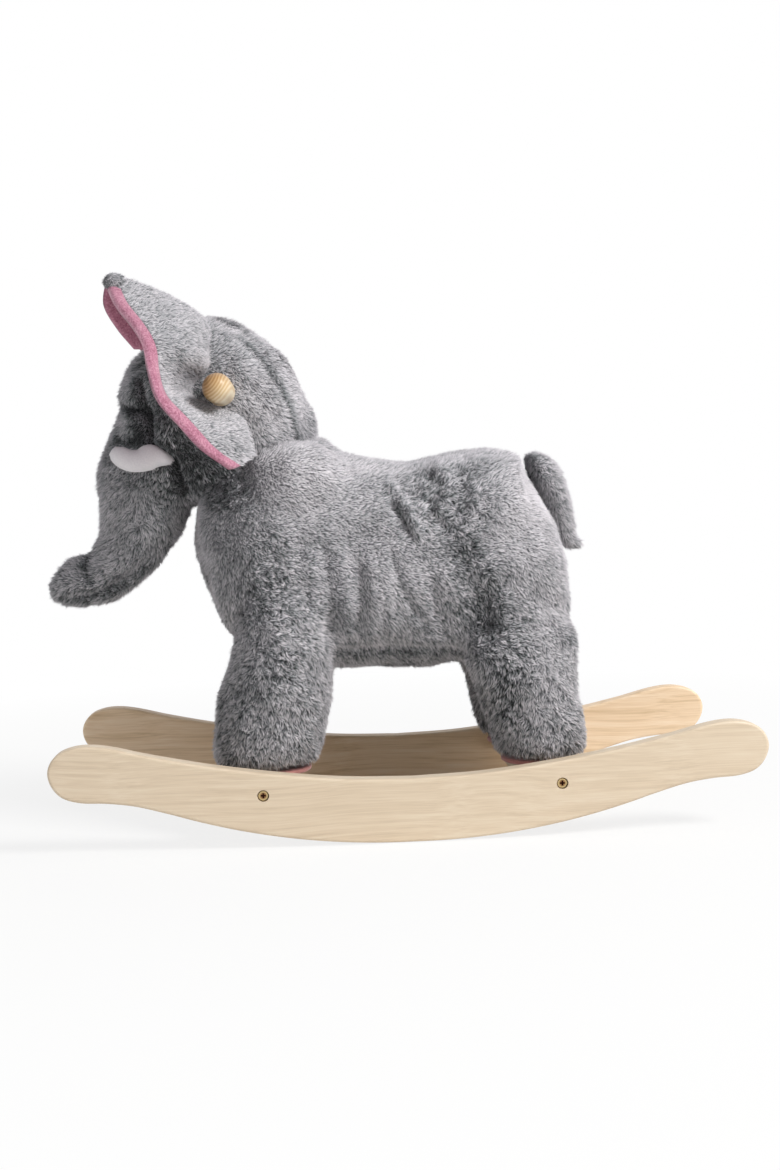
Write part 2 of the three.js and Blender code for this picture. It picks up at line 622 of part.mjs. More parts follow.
function addPlush() {
  const posts = corners.map(([, x, side]) => postBlock(x, side * postY, 2 * gap));
  const frame = [...posts, seatBlock(2 * gap), neckBlock(2 * gap)];
  const bodyGrown = bodyForm(gap);
  const headGrown = headForm(gap);
  const tailSeat = rodAlongY(tail.depth + 2 * gap, tail.width + 2 * gap,
    rumpX - tail.inset, 0, bodyTop - tail.sink);
  addPiece('body', cut(bodyForm(), ...frame, tailSeat), 'greyPlush');
  const earSeats = [-1, 1].map((side) => rodBetween(...earRoot(side), earLeaf.bead + gap, overrun));
  addPiece('head', cut(headForm(), bodyGrown, neckBlock(2 * gap), handleHole(), ...earSeats), 'greyPlush');
  addPiece('trunk', cut(trunkForm(), headGrown, bodyGrown), 'greyPlush');
  for (const [corner, x, side] of corners) {
    const isFront = x < 0;
    const foot = isFront ? footInset.front - body.chest : rumpX - footInset.rear;
    const shares = isFront ? frontLegShares : rearLegShares;
    const form = legForm(shares, foot, side);
    addPiece(`leg_${corner}`, cut(form, bodyGrown, ...posts), 'greyPlush');
    addPiece(`sole_${corner}`, soleGeometry(shares, foot, side, posts), 'pinkFelt');
  }
  addTusks(headGrown, trunkForm());
  addPiece('tail', cut(tailForm(), bodyGrown), 'greyPlush');
}

function soleGeometry(shares, footX, side, posts) {
  const [, , long, wide] = shares[0];
  const outline = new THREE.Shape();
  outline.absellipse(0, 0, leg.length / 2 * long - sole.tuck, leg.width / 2 * wide - sole.tuck, 0, 2 * Math.PI);
  const blank = new THREE.ExtrudeGeometry(outline,
    { depth: sole.thickness, bevelEnabled: false, curveSegments: roundSides })
    .translate(footX, side * legY, soleBottom);
  return cut(blank, ...posts);
}

addRockers();
addCrossBoards();
addRockerFixings();
addInnerFrame();
addHandle();
addPlush();
addEars();

// The origin is on the floor, under the middle of the toy's overall length.
const extent = new THREE.Box3().setFromObject(toy);
toy.position.x = -(extent.min.x + extent.max.x) / 2;

export default toy;
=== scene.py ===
import bpy
import math
import numpy as np
from mathutils import Vector, Matrix, kdtree


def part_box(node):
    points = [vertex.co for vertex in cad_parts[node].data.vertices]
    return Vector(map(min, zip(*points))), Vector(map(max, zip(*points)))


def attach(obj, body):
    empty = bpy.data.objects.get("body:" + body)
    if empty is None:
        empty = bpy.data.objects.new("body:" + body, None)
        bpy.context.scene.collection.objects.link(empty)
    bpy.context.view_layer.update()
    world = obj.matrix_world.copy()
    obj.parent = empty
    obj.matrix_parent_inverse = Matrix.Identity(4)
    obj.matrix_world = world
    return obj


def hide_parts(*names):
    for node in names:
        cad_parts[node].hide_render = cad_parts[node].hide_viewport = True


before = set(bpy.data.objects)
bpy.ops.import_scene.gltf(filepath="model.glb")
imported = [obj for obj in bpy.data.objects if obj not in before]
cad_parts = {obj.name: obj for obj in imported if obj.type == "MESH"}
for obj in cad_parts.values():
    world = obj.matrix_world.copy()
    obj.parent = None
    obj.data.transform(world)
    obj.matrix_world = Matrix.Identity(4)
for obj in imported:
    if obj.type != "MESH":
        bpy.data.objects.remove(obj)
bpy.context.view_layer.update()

# Sizes are in millimetres, counted from the middle of the rockers as in the frame:
# x runs to the tail, y to the elephant's right, z up from the floor.
mm = 0.001
rockerLow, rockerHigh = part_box("rocker_left")
middleX = (rockerLow.x + rockerHigh.x) / 2 / mm
mainBody = "rocker_frame"
sides = {"left": -1, "right": 1}


def toMetres(points):
    return (np.asarray(points, dtype=float).reshape(-1, 3) + [middleX, 0, 0]) * mm


def fromMetres(corner):
    return np.array(corner) / mm - [middleX, 0, 0]


def smoothStep(low, high, value):
    share = np.clip((value - low) / (high - low), 0, 1)
    return share * share * (3 - 2 * share)


def unit(vectors):
    return vectors / np.maximum(np.linalg.norm(vectors, axis=-1, keepdims=True), 1e-9)


def smoothThrough(points, shares):
    # Catmull-Rom curve through the points, read at shares from 0 to 1
    points = np.asarray(points, dtype=float)
    spans = len(points) - 1
    place = np.clip(np.asarray(shares) * spans, 0, spans - 1e-6)
    index = place.astype(int)
    t = (place - index)[:, None]
    padded = np.vstack([2 * points[0] - points[1], points, 2 * points[-1] - points[-2]])
    a, b, c, d = (padded[index + step] for step in range(4))
    return 0.5 * (2 * b + (c - a) * t + (2 * a - 5 * b + 4 * c - d) * t ** 2
                  + (3 * b - a - 3 * c + d) * t ** 3)


def softNoise(points, size, seed, channels=1):
    # smooth value from about -1 to 1 whose lumps are about size millimetres across
    draw = np.random.default_rng(seed)
    total = np.zeros((len(points), channels))
    waves = 9
    for channel in range(channels):
        directions = unit(draw.normal(size=(waves, 3)))
        pitches = 2 * math.pi / (size * draw.uniform(1.3, 3.2, waves))
        phases = draw.uniform(0, 2 * math.pi, waves)
        total[:, channel] = np.sin(points @ (directions * pitches[:, None]).T + phases).sum(axis=1)
    return total / math.sqrt(waves * 1.6)


def newMesh(name, points, faces, smooth=True):
    mesh = bpy.data.meshes.new(name)
    mesh.from_pydata([tuple(p) for p in toMetres(points)], [], [tuple(int(i) for i in f) for f in faces])
    mesh.validate()
    mesh.update()
    mesh.polygons.foreach_set("use_smooth", [smooth] * len(mesh.polygons))
    return mesh


def newPiece(name, mesh, material, body=mainBody):
    piece = bpy.data.objects.new(name, mesh)
    bpy.context.collection.objects.link(piece)
    mesh.materials.clear()
    mesh.materials.append(material)
    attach(piece, body)
    return piece


def ringFaces(rings, around):
    # quads between rings of points that follow one another
    faces = []
    for ring in range(rings - 1):
        for step in range(around):
            after = (step + 1) % around
            faces.append((ring * around + step, ring * around + after,
                          (ring + 1) * around + after, (ring + 1) * around + step))
    return faces


def cappedFaces(rings, around):
    first = tuple(range(around))
    last = tuple((rings - 1) * around + step for step in range(around))
    return ringFaces(rings, around) + [first[::-1], last]


def applyModifiers(thing):
    depsgraph = bpy.context.evaluated_depsgraph_get()
    mesh = bpy.data.meshes.new_from_object(thing.evaluated_get(depsgraph))
    thing.modifiers.clear()
    thing.data = mesh
    return mesh


# Camera, at the photograph's place
camera = {
    "eye": (-95.1, -1538.8, 333.2), "yaw": 3.228, "pitch": 4.077, "roll": -1.805,
    "focalPixels": 1593.8, "imageWidth": 780, "sensor": 36.0,
}


def addCamera():
    yaw, pitch, roll = (math.radians(camera[key]) for key in ("yaw", "pitch", "roll"))
    forward = Vector((math.sin(yaw) * math.cos(pitch), math.cos(yaw) * math.cos(pitch), -math.sin(pitch)))
    right = Vector((math.cos(yaw), -math.sin(yaw), 0))
    up = right.cross(forward)
    rolledRight = math.cos(roll) * right + math.sin(roll) * up
    rolledUp = -math.sin(roll) * right + math.cos(roll) * up
    lens = bpy.data.cameras.new("camera")
    lens.sensor_fit = "HORIZONTAL"
    lens.sensor_width = camera["sensor"]
    lens.lens = camera["focalPixels"] / camera["imageWidth"] * camera["sensor"]
    lens.clip_start = 0.05
    view = bpy.data.objects.new("camera", lens)
    turn = Matrix((rolledRight, rolledUp, -forward)).transposed().to_4x4()
    view.matrix_world = Matrix.Translation(toMetres(camera["eye"])[0]) @ turn
    bpy.context.collection.objects.link(view)
    bpy.context.scene.camera = view


# Materials
def hexColour(code, alpha=1.0):
    # sRGB hex to the linear values that the shader takes
    parts = [int(code[i:i + 2], 16) / 255 for i in (0, 2, 4)]
    linear = [p / 12.92 if p <= 0.04045 else ((p + 0.055) / 1.055) ** 2.4 for p in parts]
    return (*linear, alpha)


def addNode(owner, kind, settings=None, links=None):
    # settings are the node's own properties, its sockets' values or a ramp's stops
    node = owner.node_tree.nodes.new(kind)
    for key, value in (settings or {}).items():
        if key == "stops":
            elements = node.color_ramp.elements
            while len(elements) < len(value):
                elements.new(0.5)
            for element, (place, code) in zip(elements, value):
                element.position = place
                element.color = hexColour(code)
        elif isinstance(key, str) and hasattr(node, key):
            setattr(node, key, value)
        else:
            node.inputs[key].default_value = value
    for key, output in (links or {}).items():
        owner.node_tree.links.new(output, node.inputs[key])
    return node


def addMath(owner, operation, *terms):
    # each term is a number or another node's output
    settings = {"operation": operation}
    links = {}
    for index, term in enumerate(terms):
        kind = settings if isinstance(term, (int, float)) else links
        kind[index] = term
    return addNode(owner, "ShaderNodeMath", settings, links).outputs[0]


def addNoise(owner, size, place, detail, roughness=0.5):
    # features are about size millimetres across
    settings = {"Scale": perMetre(size), "Detail": detail, "Roughness": roughness}
    return addNode(owner, "ShaderNodeTexNoise", settings, {"Vector": place})


def addRamp(owner, stops, share):
    return addNode(owner, "ShaderNodeValToRGB", {"stops": stops}, {"Fac": share}).outputs["Color"]


def addRange(owner, settings, value):
    return addNode(owner, "ShaderNodeMapRange", settings, {"Value": value}).outputs[0]


def addMapping(owner, settings, place):
    return addNode(owner, "ShaderNodeMapping", settings, {"Vector": place}).outputs[0]


def addBump(owner, strength, distance, height):
    settings = {"Strength": strength, "Distance": distance * mm}
    return addNode(owner, "ShaderNodeBump", settings, {"Height": height}).outputs["Normal"]


def startMaterial(name):
    # the new material, and the places on the object that its patterns follow
    material = bpy.data.materials.new(name)
    material.use_nodes = True
    material.node_tree.nodes.clear()
    return material, addNode(material, "ShaderNodeTexCoord").outputs["Object"]


def finishMaterial(material, settings, links):
    shader = addNode(material, "ShaderNodeBsdfPrincipled", settings, links)
    addNode(material, "ShaderNodeOutputMaterial", links={"Surface": shader.outputs["BSDF"]})
    return material


def perMetre(size):
    # noise scale whose features are about size millimetres across
    return 1000 / size


def makePlush(name, tones, lumps):
    # Acrylic pile, knitted and sheared: strands darker at the root than at the tip, which paints the shade
    # deep in the pile, with broad patches where the nap lies another way; the strandTone attribute also
    # carries painted shade and painted light.
    material, place = startMaterial(name)
    height = addNode(material, "ShaderNodeAttribute", {"attribute_name": "pileHeight"}).outputs["Fac"]
    strandTone = addNode(material, "ShaderNodeAttribute", {"attribute_name": "strandTone"}).outputs["Fac"]
    patches = addNoise(material, lumps, place, 2.0).outputs["Fac"]
    patchShift = addMath(material, "MULTIPLY_ADD", patches, 0.5, -0.25)
    toned = addMath(material, "ADD", addMath(material, "ADD", height, patchShift), strandTone)
    return finishMaterial(
        material,
        {"Roughness": 0.85, "Specular IOR Level": 0.25, "Sheen Weight": 0.35, "Sheen Roughness": 0.45,
         "Sheen Tint": hexColour("c9c8d0")},
        {"Base Color": addRamp(material, tones, toned)})


def makeFleece(name, tones, nap, bumpHeight):
    # Brushed polyester fleece or felt: matt, with a fine nap that mottles the colour.
    material, place = startMaterial(name)
    fine = addNoise(material, nap, place, 3.0, 0.6).outputs["Fac"]
    broad = addNoise(material, 9 * nap, place, 2.0).outputs["Fac"]
    mixed = addMath(material, "MULTIPLY_ADD", broad, 0.35, fine)
    colour = addRamp(material, tones, addMath(material, "MULTIPLY", mixed, 0.74))
    return finishMaterial(
        material, {"Roughness": 0.9, "Specular IOR Level": 0.2, "Sheen Weight": 0.4, "Sheen Roughness": 0.5},
        {"Base Color": colour, "Normal": addBump(material, 0.7, bumpHeight, fine)})


def makeWood(name, tones, grain, stretch, roughness, specks=0.0):
    # Sawn and sanded timber: growth lines drawn out along the board, faint pores, and a thin wax.
    material, place = startMaterial(name)
    bend = addNoise(material, 160, place, 1.0)
    bent = addNode(material, "ShaderNodeMix",
                   {"data_type": "RGBA", "blend_type": "LINEAR_LIGHT", 0: 0.01},
                   {6: place, 7: bend.outputs["Color"]})
    drawn = addMapping(material, {"Scale": stretch}, bent.outputs[2])
    lines = addNoise(material, grain, drawn, 5.0, 0.62).outputs["Fac"]
    figure = addNoise(material, grain * 4, drawn, 3.0).outputs["Fac"]
    mixed = addMath(material, "MULTIPLY_ADD", lines, 0.6, figure)
    base = addRamp(material, tones, addMath(material, "MULTIPLY", mixed, 0.62))
    if specks:
        # small dark pin knots
        spots = addNode(material, "ShaderNodeTexVoronoi", {"Scale": perMetre(46)}, {"Vector": place})
        spot = addRamp(material, [(0.0, "9c6f45"), (specks, "ffffff")], spots.outputs["Distance"])
        base = addNode(material, "ShaderNodeMix", {"data_type": "RGBA", "blend_type": "MULTIPLY", 0: 1.0},
                       {6: base, 7: spot}).outputs[2]
    return finishMaterial(material, {"Roughness": roughness, "IOR": 1.48},
                          {"Base Color": base, "Normal": addBump(material, 0.25, 0.25, lines)})


def makeTurnedBeech():
    # Beech dowel, turned and oiled: growth rings run along it, so they show as arcs on its rounded ends,
    # and it is browner on the heart side. The rings are drawn about twice as coarse as they are.
    material, place = startMaterial("turnedBeech")
    ringCentre = toMetres((-176, 0, 424))[0]
    moved = addMapping(material, {"Location": tuple(-ringCentre)}, place)
    ringSpacing = 2.6
    rings = addNode(material, "ShaderNodeTexWave",
                    {"wave_type": "RINGS", "rings_direction": "Y", "Scale": 0.314 / (ringSpacing * mm),
                     "Distortion": 2.5, "Detail": 2.0, "Detail Scale": 0.6},
                    {"Vector": moved}).outputs["Fac"]
    apart = addNode(material, "ShaderNodeSeparateXYZ", links={0: moved})
    across = addMath(material, "SUBTRACT", apart.outputs["X"], apart.outputs["Z"])
    heart = addRange(material, {"From Min": 14 * mm, "From Max": 46 * mm, "To Min": 0.12, "To Max": 0.72},
                     across)
    colour = addRamp(material, [(0.05, "7e5831"), (0.35, "ae8553"), (0.62, "cfb186"), (0.95, "ebdcbe")],
                     addMath(material, "MULTIPLY_ADD", rings, 0.24, heart))
    return finishMaterial(material, {"Roughness": 0.4, "IOR": 1.48},
                          {"Base Color": colour, "Normal": addBump(material, 0.2, 0.2, rings)})


# rocker screws: distance of each from the middle, height, plane of the head, its radius and its cross recess
screw = {
    "out": 134.8, "height": 47.6, "headFace": 126.4, "headRadius": 4.7, "recessTop": 0.15, "recessDepth": 0.6,
}


def makeBronzedSteel():
    # Bronze-plated steel, cold-headed and tumbled: olive and half-bright round the rim of the head, red-brown
    # where the plating wore off near the middle, and painted shade, near black, inside the cross recess.
    material, place = startMaterial("bronzedSteel")
    apart = addNode(material, "ShaderNodeSeparateXYZ", links={0: place})
    fromMiddle = addMath(material, "SUBTRACT", apart.outputs["X"], middleX * mm)
    along = addMath(material, "SUBTRACT", addMath(material, "ABSOLUTE", fromMiddle), screw["out"] * mm)
    above = addMath(material, "SUBTRACT", apart.outputs["Z"], screw["height"] * mm)
    offAxis = addNode(material, "ShaderNodeCombineXYZ", links={0: along, 2: above})
    radius = addNode(material, "ShaderNodeVectorMath", {"operation": "LENGTH"}, {0: offAxis.outputs[0]})
    share = addRange(material, {"From Max": screw["headRadius"] * mm}, radius.outputs["Value"])
    colour = addRamp(material, [(0.1, "7a4e3a"), (0.5, "96704e"), (0.68, "c2aa7c"), (1.0, "d8c598")], share)
    # painted shade: the cross recess is coloured near black, from the head's face inward
    recess = addRange(material, {"From Min": (screw["headFace"] - screw["recessDepth"]) * mm,
                                 "From Max": (screw["headFace"] - screw["recessTop"]) * mm},
                      addMath(material, "ABSOLUTE", apart.outputs["Y"]))
    tone = addNode(material, "ShaderNodeMix", {"data_type": "RGBA", 6: hexColour("2a1410")},
                   {0: recess, 7: colour})
    wear = addNoise(material, 2.5, place, 4.0).outputs["Fac"]
    rough = addRange(material, {"To Min": 0.28, "To Max": 0.5}, wear)
    return finishMaterial(material, {"Metallic": 1.0}, {"Base Color": tone.outputs[2], "Roughness": rough})


# grey ramp of the pile; its darkest, green-tinted stops are reached where shade is painted in: strand roots,
# creases and the ear's shadow
greyTones = [(0.0, "242727"), (0.18, "535a59"), (0.38, "8f9394"), (0.65, "c9c6ca"), (1.0, "f2edf0")]
alongBoard = (0.022, 1.0, 1.0)
# the right rocker, at the far side, is painted warmer than the left one: it stands in for the warm light
# bounced between the boards onto its shaded side
finishes = {
    "pile": makePlush("acrylicPlush", greyTones, 70),
    "backing": makeFleece("knittedPlushBacking", [(0.2, "6a696c"), (0.8, "858488")], 1.6, 0.6),
    "fleece": makeFleece("polyesterFleecePink", [(0.3, "8f5367"), (0.5, "b97b90"), (0.68, "d8a4b3")],
                         1.5, 0.8),
    "felt": makeFleece("woolFeltPink", [(0.25, "b0716c"), (0.8, "d39790")], 1.2, 0.3),
    "tuskFelt": makeFleece("brushedFeltWhite", [(0.2, "d6d2d6"), (0.6, "e6e2e4"), (0.9, "f0eeef")],
                           1.3, 0.3),
    "poplar": makeWood("sandedPoplar", [(0.3, "cebaa0"), (0.5, "ddcab0"), (0.66, "e4d4bc")],
                       1.0, alongBoard, 0.5, 0.012),
    "warmBouncePoplar": makeWood("sandedPoplarPaintedWarmBounce", [(0.3, "d6b78f"), (0.5, "f0d3b0"), (0.66, "f8e0c3")],
                            1.2, alongBoard, 0.5, 0.012),
    "innerWood": makeWood("planedPine", [(0.25, "b8946a"), (0.75, "d9bd92")], 3.0, (1.0, 1.0, 0.07), 0.65),
    "turnedBeech": makeTurnedBeech(),
    "bronze": makeBronzedSteel(),
}


# Stuffed forms
def stuffedForm(centres, halfDeep, halfWide, deepAxis=None, squareness=2.0, rings=64, around=72):
    shares = np.linspace(0, 1, rings)
    spine = smoothThrough(centres, shares)
    girth = smoothThrough(np.stack([halfDeep, halfWide], axis=1), shares)
    along = unit(np.gradient(spine, axis=0))
    if deepAxis is None:
        wide = unit(np.array([0, 1, 0]) - along * along[:, 1:2])
        deep = unit(np.cross(wide, along))
    else:
        wide = np.tile([0.0, 1.0, 0.0], (rings, 1))
        deep = np.tile(np.asarray(deepAxis, dtype=float), (rings, 1))
    angle = np.linspace(0, 2 * math.pi, around, endpoint=False)
    power = 2 / squareness
    cosine = np.sign(np.cos(angle)) * np.abs(np.cos(angle)) ** power
    sine = np.sign(np.sin(angle)) * np.abs(np.sin(angle)) ** power
    points = (spine[:, None] + deep[:, None] * (cosine[None, :, None] * girth[:, None, 0:1])
              + wide[:, None] * (sine[None, :, None] * girth[:, None, 1:2])).reshape(-1, 3)
    faces = ringFaces(rings, around)
    domeShare = 0.25
    for ring, way in ((0, -1), (rings - 1, 1)):
        pole = spine[ring] + along[ring] * way * girth[ring, 0] * domeShare
        points = np.vstack([points, pole])
        for step in range(around):
            pair = (ring * around + (step + 1) % around, ring * around + step)
            faces.append((*(pair if way < 0 else pair[::-1]), len(points) - 1))
    return points, faces


def uprightForm(rows, squareness):
    # rows: place along x, underside, top, half width
    rows = np.asarray(rows, dtype=float)
    centres = np.stack([rows[:, 0], 0 * rows[:, 0], (rows[:, 1] + rows[:, 2]) / 2], axis=1)
    return stuffedForm(centres, (rows[:, 2] - rows[:, 1]) / 2, rows[:, 3], (0, 0, 1), squareness)


def hangingForm(rows, squareness=2.0):
    # rows: centre x and z, half depth, half width, on the middle plane
    rows = np.asarray(rows, dtype=float)
    centres = np.stack([rows[:, 0], 0 * rows[:, 0], rows[:, 1]], axis=1)
    return stuffedForm(centres, rows[:, 2], rows[:, 3], squareness=squareness)


def pathForm(rows, side, rings, around):
    # rows: place along x, distance from the middle, height, half depth, half width
    rows = np.asarray(rows, dtype=float)
    return stuffedForm(rows[:, :3] * [1, side, 1], rows[:, 3], rows[:, 4], rings=rings, around=around)


def joinForms(name, forms, voxel, smoothing):
    # the forms melt into one skin, with a soft valley where they meet
    points, faces = [], []
    for formPoints, formFaces in forms:
        start = sum(len(p) for p in points)
        points.append(formPoints)
        faces.extend(tuple(i + start for i in face) for face in formFaces)
    thing = bpy.data.objects.new(name, newMesh(name, np.vstack(points), faces))
    bpy.context.collection.objects.link(thing)
    remesh = thing.modifiers.new("remesh", "REMESH")
    remesh.mode = "VOXEL"
    remesh.voxel_size = voxel * mm
    smooth = thing.modifiers.new("smooth", "SMOOTH")
    smooth.factor = 0.5
    smooth.iterations = smoothing
    mesh = applyModifiers(thing)
    bpy.data.objects.remove(thing)
    return mesh


def meshPoints(mesh):
    flat = np.empty(len(mesh.vertices) * 3)
    mesh.vertices.foreach_get("co", flat)
    return flat.reshape(-1, 3) / mm - [middleX, 0, 0]


def meshNormals(mesh):
    flat = np.empty(len(mesh.vertices) * 3)
    mesh.vertex_normals.foreach_get("vector", flat)
    return flat.reshape(-1, 3)


def setPoints(mesh, points):
    mesh.vertices.foreach_set("co", toMetres(points).ravel())
    mesh.update()


def distanceToLine(points, line):
    # shortest distance from each point to a run of straight pieces, in as many axes as the line has
    line = np.asarray(line, dtype=float)
    best = np.full(len(points), 1e9)
    for a, b in zip(line[:-1], line[1:]):
        run = b - a
        share = np.clip(((points - a) @ run) / (run @ run), 0, 1)
        best = np.minimum(best, np.linalg.norm(points - (a + share[:, None] * run), axis=1))
    return best


def creaseDepth(points, creases):
    # creases: a line in the side view (x, z) with its depth, width and the |y| it starts at
    depth = np.zeros(len(points))
    for crease in creases:
        away = distanceToLine(points[:, [0, 2]], crease["line"])
        groove = crease["depth"] * np.exp(-(away / crease["width"]) ** 2)
        if "from" in crease:
            fade = 6
            groove *= smoothStep(crease["from"] - fade, crease["from"] + fade, np.abs(points[:, 1]))
        depth += groove
    return depth


def shapeSkin(mesh, creases, lumps, seed, pileDepth):
    points, normals = meshPoints(mesh), meshNormals(mesh)
    rise = -creaseDepth(points, creases) - pileDepth
    for height, size in lumps:
        rise += height * softNoise(points, size, seed + int(size))[:, 0]
    setPoints(mesh, points + normals * rise[:, None])


# Pile: every strand is a thin three-sided spike that leans over and tapers to a point
strand = {
    "fineSwirl": 0.6, "fineSwirlSize": 3, "curl": 1.5, "curlSize": 1.6,
    "lengths": (0.7, 1.15), "tuftLength": 0.16, "tuftLengthSize": 2, "roughLength": 0.25,
    "partingDepth": 8, "partingLoss": 0.4, "clearFade": 8, "clearLength": 0.3,
    "raise": 0.22, "roughRaise": 0.4, "raiseSize": 1.3, "lifts": (0.12, 1.3), "outward": 0.3, "lean": 0.85,
    "widths": (0.7, 1.3), "leanShade": 0.35, "shadeNoise": 0.26,
    "napSpeckle": 3.6, "speckles": (0.35, 2.2), "speckledLow": (300, 200),
    "stroke": 0.045, "roughStroke": 0.8, "strokeSize": 11,
}


def scatterRoots(mesh, pile, draw):
    # places spread evenly over the mesh, with the way the surface faces there
    points, normals = meshPoints(mesh), meshNormals(mesh)
    mesh.calc_loop_triangles()
    flat = np.empty(len(mesh.loop_triangles) * 3, dtype=np.int32)
    mesh.loop_triangles.foreach_get("vertices", flat)
    triangles = flat.reshape(-1, 3)
    corners = points[triangles]
    edges = corners[:, 1:] - corners[:, :1]
    areas = np.linalg.norm(np.cross(edges[:, 0], edges[:, 1]), axis=1) / 2
    if "bare" in pile:
        areas = areas * ~pile["bare"](corners.mean(axis=1), unit(normals[triangles].mean(axis=1)))
    reach = np.cumsum(areas)
    count = int(reach[-1] / pile["spacing"] ** 2)
    chosen = np.searchsorted(reach, (np.arange(count) + draw.uniform(0, 1, count)) * reach[-1] / count)
    chosen = np.minimum(chosen, len(triangles) - 1)
    first, second = draw.uniform(0, 1, (2, count))
    over = first + second > 1
    first[over], second[over] = 1 - first[over], 1 - second[over]
    weights = np.stack([1 - first - second, first, second], axis=1)[..., None]
    roots = (corners[chosen] * weights).sum(axis=1)
    return roots, unit((normals[triangles[chosen]] * weights).sum(axis=1))


def combStrands(roots, facing, pile, combAt, rough, draw, seed):
    # along the surface, in swirls, with stray strands and curls where the pile is rough
    comb = combAt(roots, facing)
    comb = comb + pile["swirl"] * softNoise(roots, pile["swirlSize"], seed + 1, 3)
    fineSize = pile["swirlSize"] / strand["fineSwirlSize"]
    comb = comb + strand["fineSwirl"] * pile["swirl"] * softNoise(roots, fineSize, seed + 2, 3)
    comb = unit(comb - facing * (comb * facing).sum(axis=1, keepdims=True))
    curl = softNoise(roots, pile["tuft"] * strand["curlSize"], seed + 5, 3)
    stray = draw.normal(0, pile["stray"], (len(roots), 3))
    return unit(comb + stray + strand["curl"] * rough[:, None] * curl)


def strandLengths(roots, pile, rough, parting, draw, seed):
    length = pile["length"] * draw.uniform(*strand["lengths"], len(roots))
    wander = softNoise(roots, pile["tuft"] * strand["tuftLengthSize"], seed + 3)[:, 0]
    length = length * (1 + strand["tuftLength"] * wander)
    length = length * (1 - strand["partingLoss"] * parting) * (1 + strand["roughLength"] * rough)
    for x, z, radius in pile.get("clearOf", []):
        away = np.hypot(roots[:, 0] - x, roots[:, 2] - z)
        grown = smoothStep(radius, radius + strand["clearFade"], away)
        length = length * (strand["clearLength"] + (1 - strand["clearLength"]) * grown)
    return length


def strandTones(roots, pile, rough, parting, tuftTone, draw, seed):
    nap = napTone(roots, pile.get("nap", []))
    # strands that stand against the nap show their dark roots, so those places look speckled
    speckle = np.clip(1.0 - strand["napSpeckle"] * nap, *strand["speckles"])
    speckle = speckle * (1 + smoothStep(*strand["speckledLow"], roots[:, 2]) + rough)
    spread = pile["toneSpread"] * draw.normal(0, 1, len(roots)) + pile["tuftSpread"] * tuftTone
    # broader cloudy patches, where the pile was stroked one way or the other
    cloud = softNoise(roots, strand["strokeSize"], seed + 6)[:, 0]
    stroked = strand["stroke"] * (1 + strand["roughStroke"] * rough) * cloud
    # nap adds the painted shade and painted light of the tone patches, and seamShade paints shade into the
    # creases and seams
    return nap + stroked + speckle * spread - pile.get("seamShade", 0) * parting


def growPile(name, mesh, pile, combAt, body, seed, parts):
    draw = np.random.default_rng(seed)
    roots, facing = scatterRoots(mesh, pile, draw)
    rough = napTone(roots, pile.get("rough", []))
    parting = np.clip(creaseDepth(roots, pile.get("creases", [])) / strand["partingDepth"], 0, 1)
    comb = combStrands(roots, facing, pile, combAt, rough, draw, seed)
    length = strandLengths(roots, pile, rough, parting, draw, seed)
    raised = softNoise(roots, pile["tuft"] * strand["raiseSize"], seed + 4)[:, 0]
    raised = (strand["raise"] + strand["roughRaise"] * rough) * raised
    lift = np.clip(pile["lift"] + raised, *strand["lifts"])[:, None]
    tip = roots + unit(facing * (lift + strand["outward"]) + comb * strand["lean"]) * length[:, None]
    tip, tuftTone = gatherTips(tip, pile["tuft"] ** 2 / pile["spacing"] ** 2, pile["gather"], draw)
    if "floor" in pile:
        tip[:, 2] = np.maximum(tip[:, 2], pile["floor"])
    across = unit(np.cross(tip - roots, facing))
    upper = unit(np.cross(across, tip - roots))
    half = (pile["width"] / 2 * draw.uniform(*strand["widths"], len(roots)))[:, None]
    rows = np.stack([roots + across * half, roots - across * half, roots + upper * half, tip], axis=1)
    scatter = strand["shadeNoise"] * draw.normal(0, 1, roots.shape)
    shading = unit(facing + strand["leanShade"] * unit(tip - roots) + scatter)
    tone = strandTones(roots, pile, rough, parting, tuftTone, draw, seed)
    for part, inside in parts.items():
        mask = inside(roots)
        piece = spikeMesh(name + part, rows[mask], shading[mask], tone[mask], pile["paintedRootShade"])
        newPiece(name + part, piece, finishes["pile"], body)


def everywhere(places):
    return np.ones(len(places), dtype=bool)


def combAlong(way):
    return lambda points, facing: np.tile(way, (len(points), 1))


def napTone(points, patches):
    tone = np.zeros(len(points))
    for x, z, alongX, alongZ, amount in patches:
        away = ((points[:, 0] - x) / alongX) ** 2 + ((points[:, 2] - z) / alongZ) ** 2
        tone += amount * np.exp(-away) * smoothStep(10, 40, np.abs(points[:, 1]))
    return tone


def gatherTips(tips, perTuft, share, draw):
    # the tips of neighbouring strands draw together, which leaves dark partings between the tufts
    count = max(int(len(tips) / perTuft), 1)
    centres = tips[draw.choice(len(tips), count, replace=False)]
    tree = kdtree.KDTree(count)
    for index, centre in enumerate(centres):
        tree.insert(centre, index)
    tree.balance()
    nearest = np.array([tree.find(point)[1] for point in tips])
    return tips + (centres[nearest] - tips) * share, draw.normal(0, 1, count)[nearest]


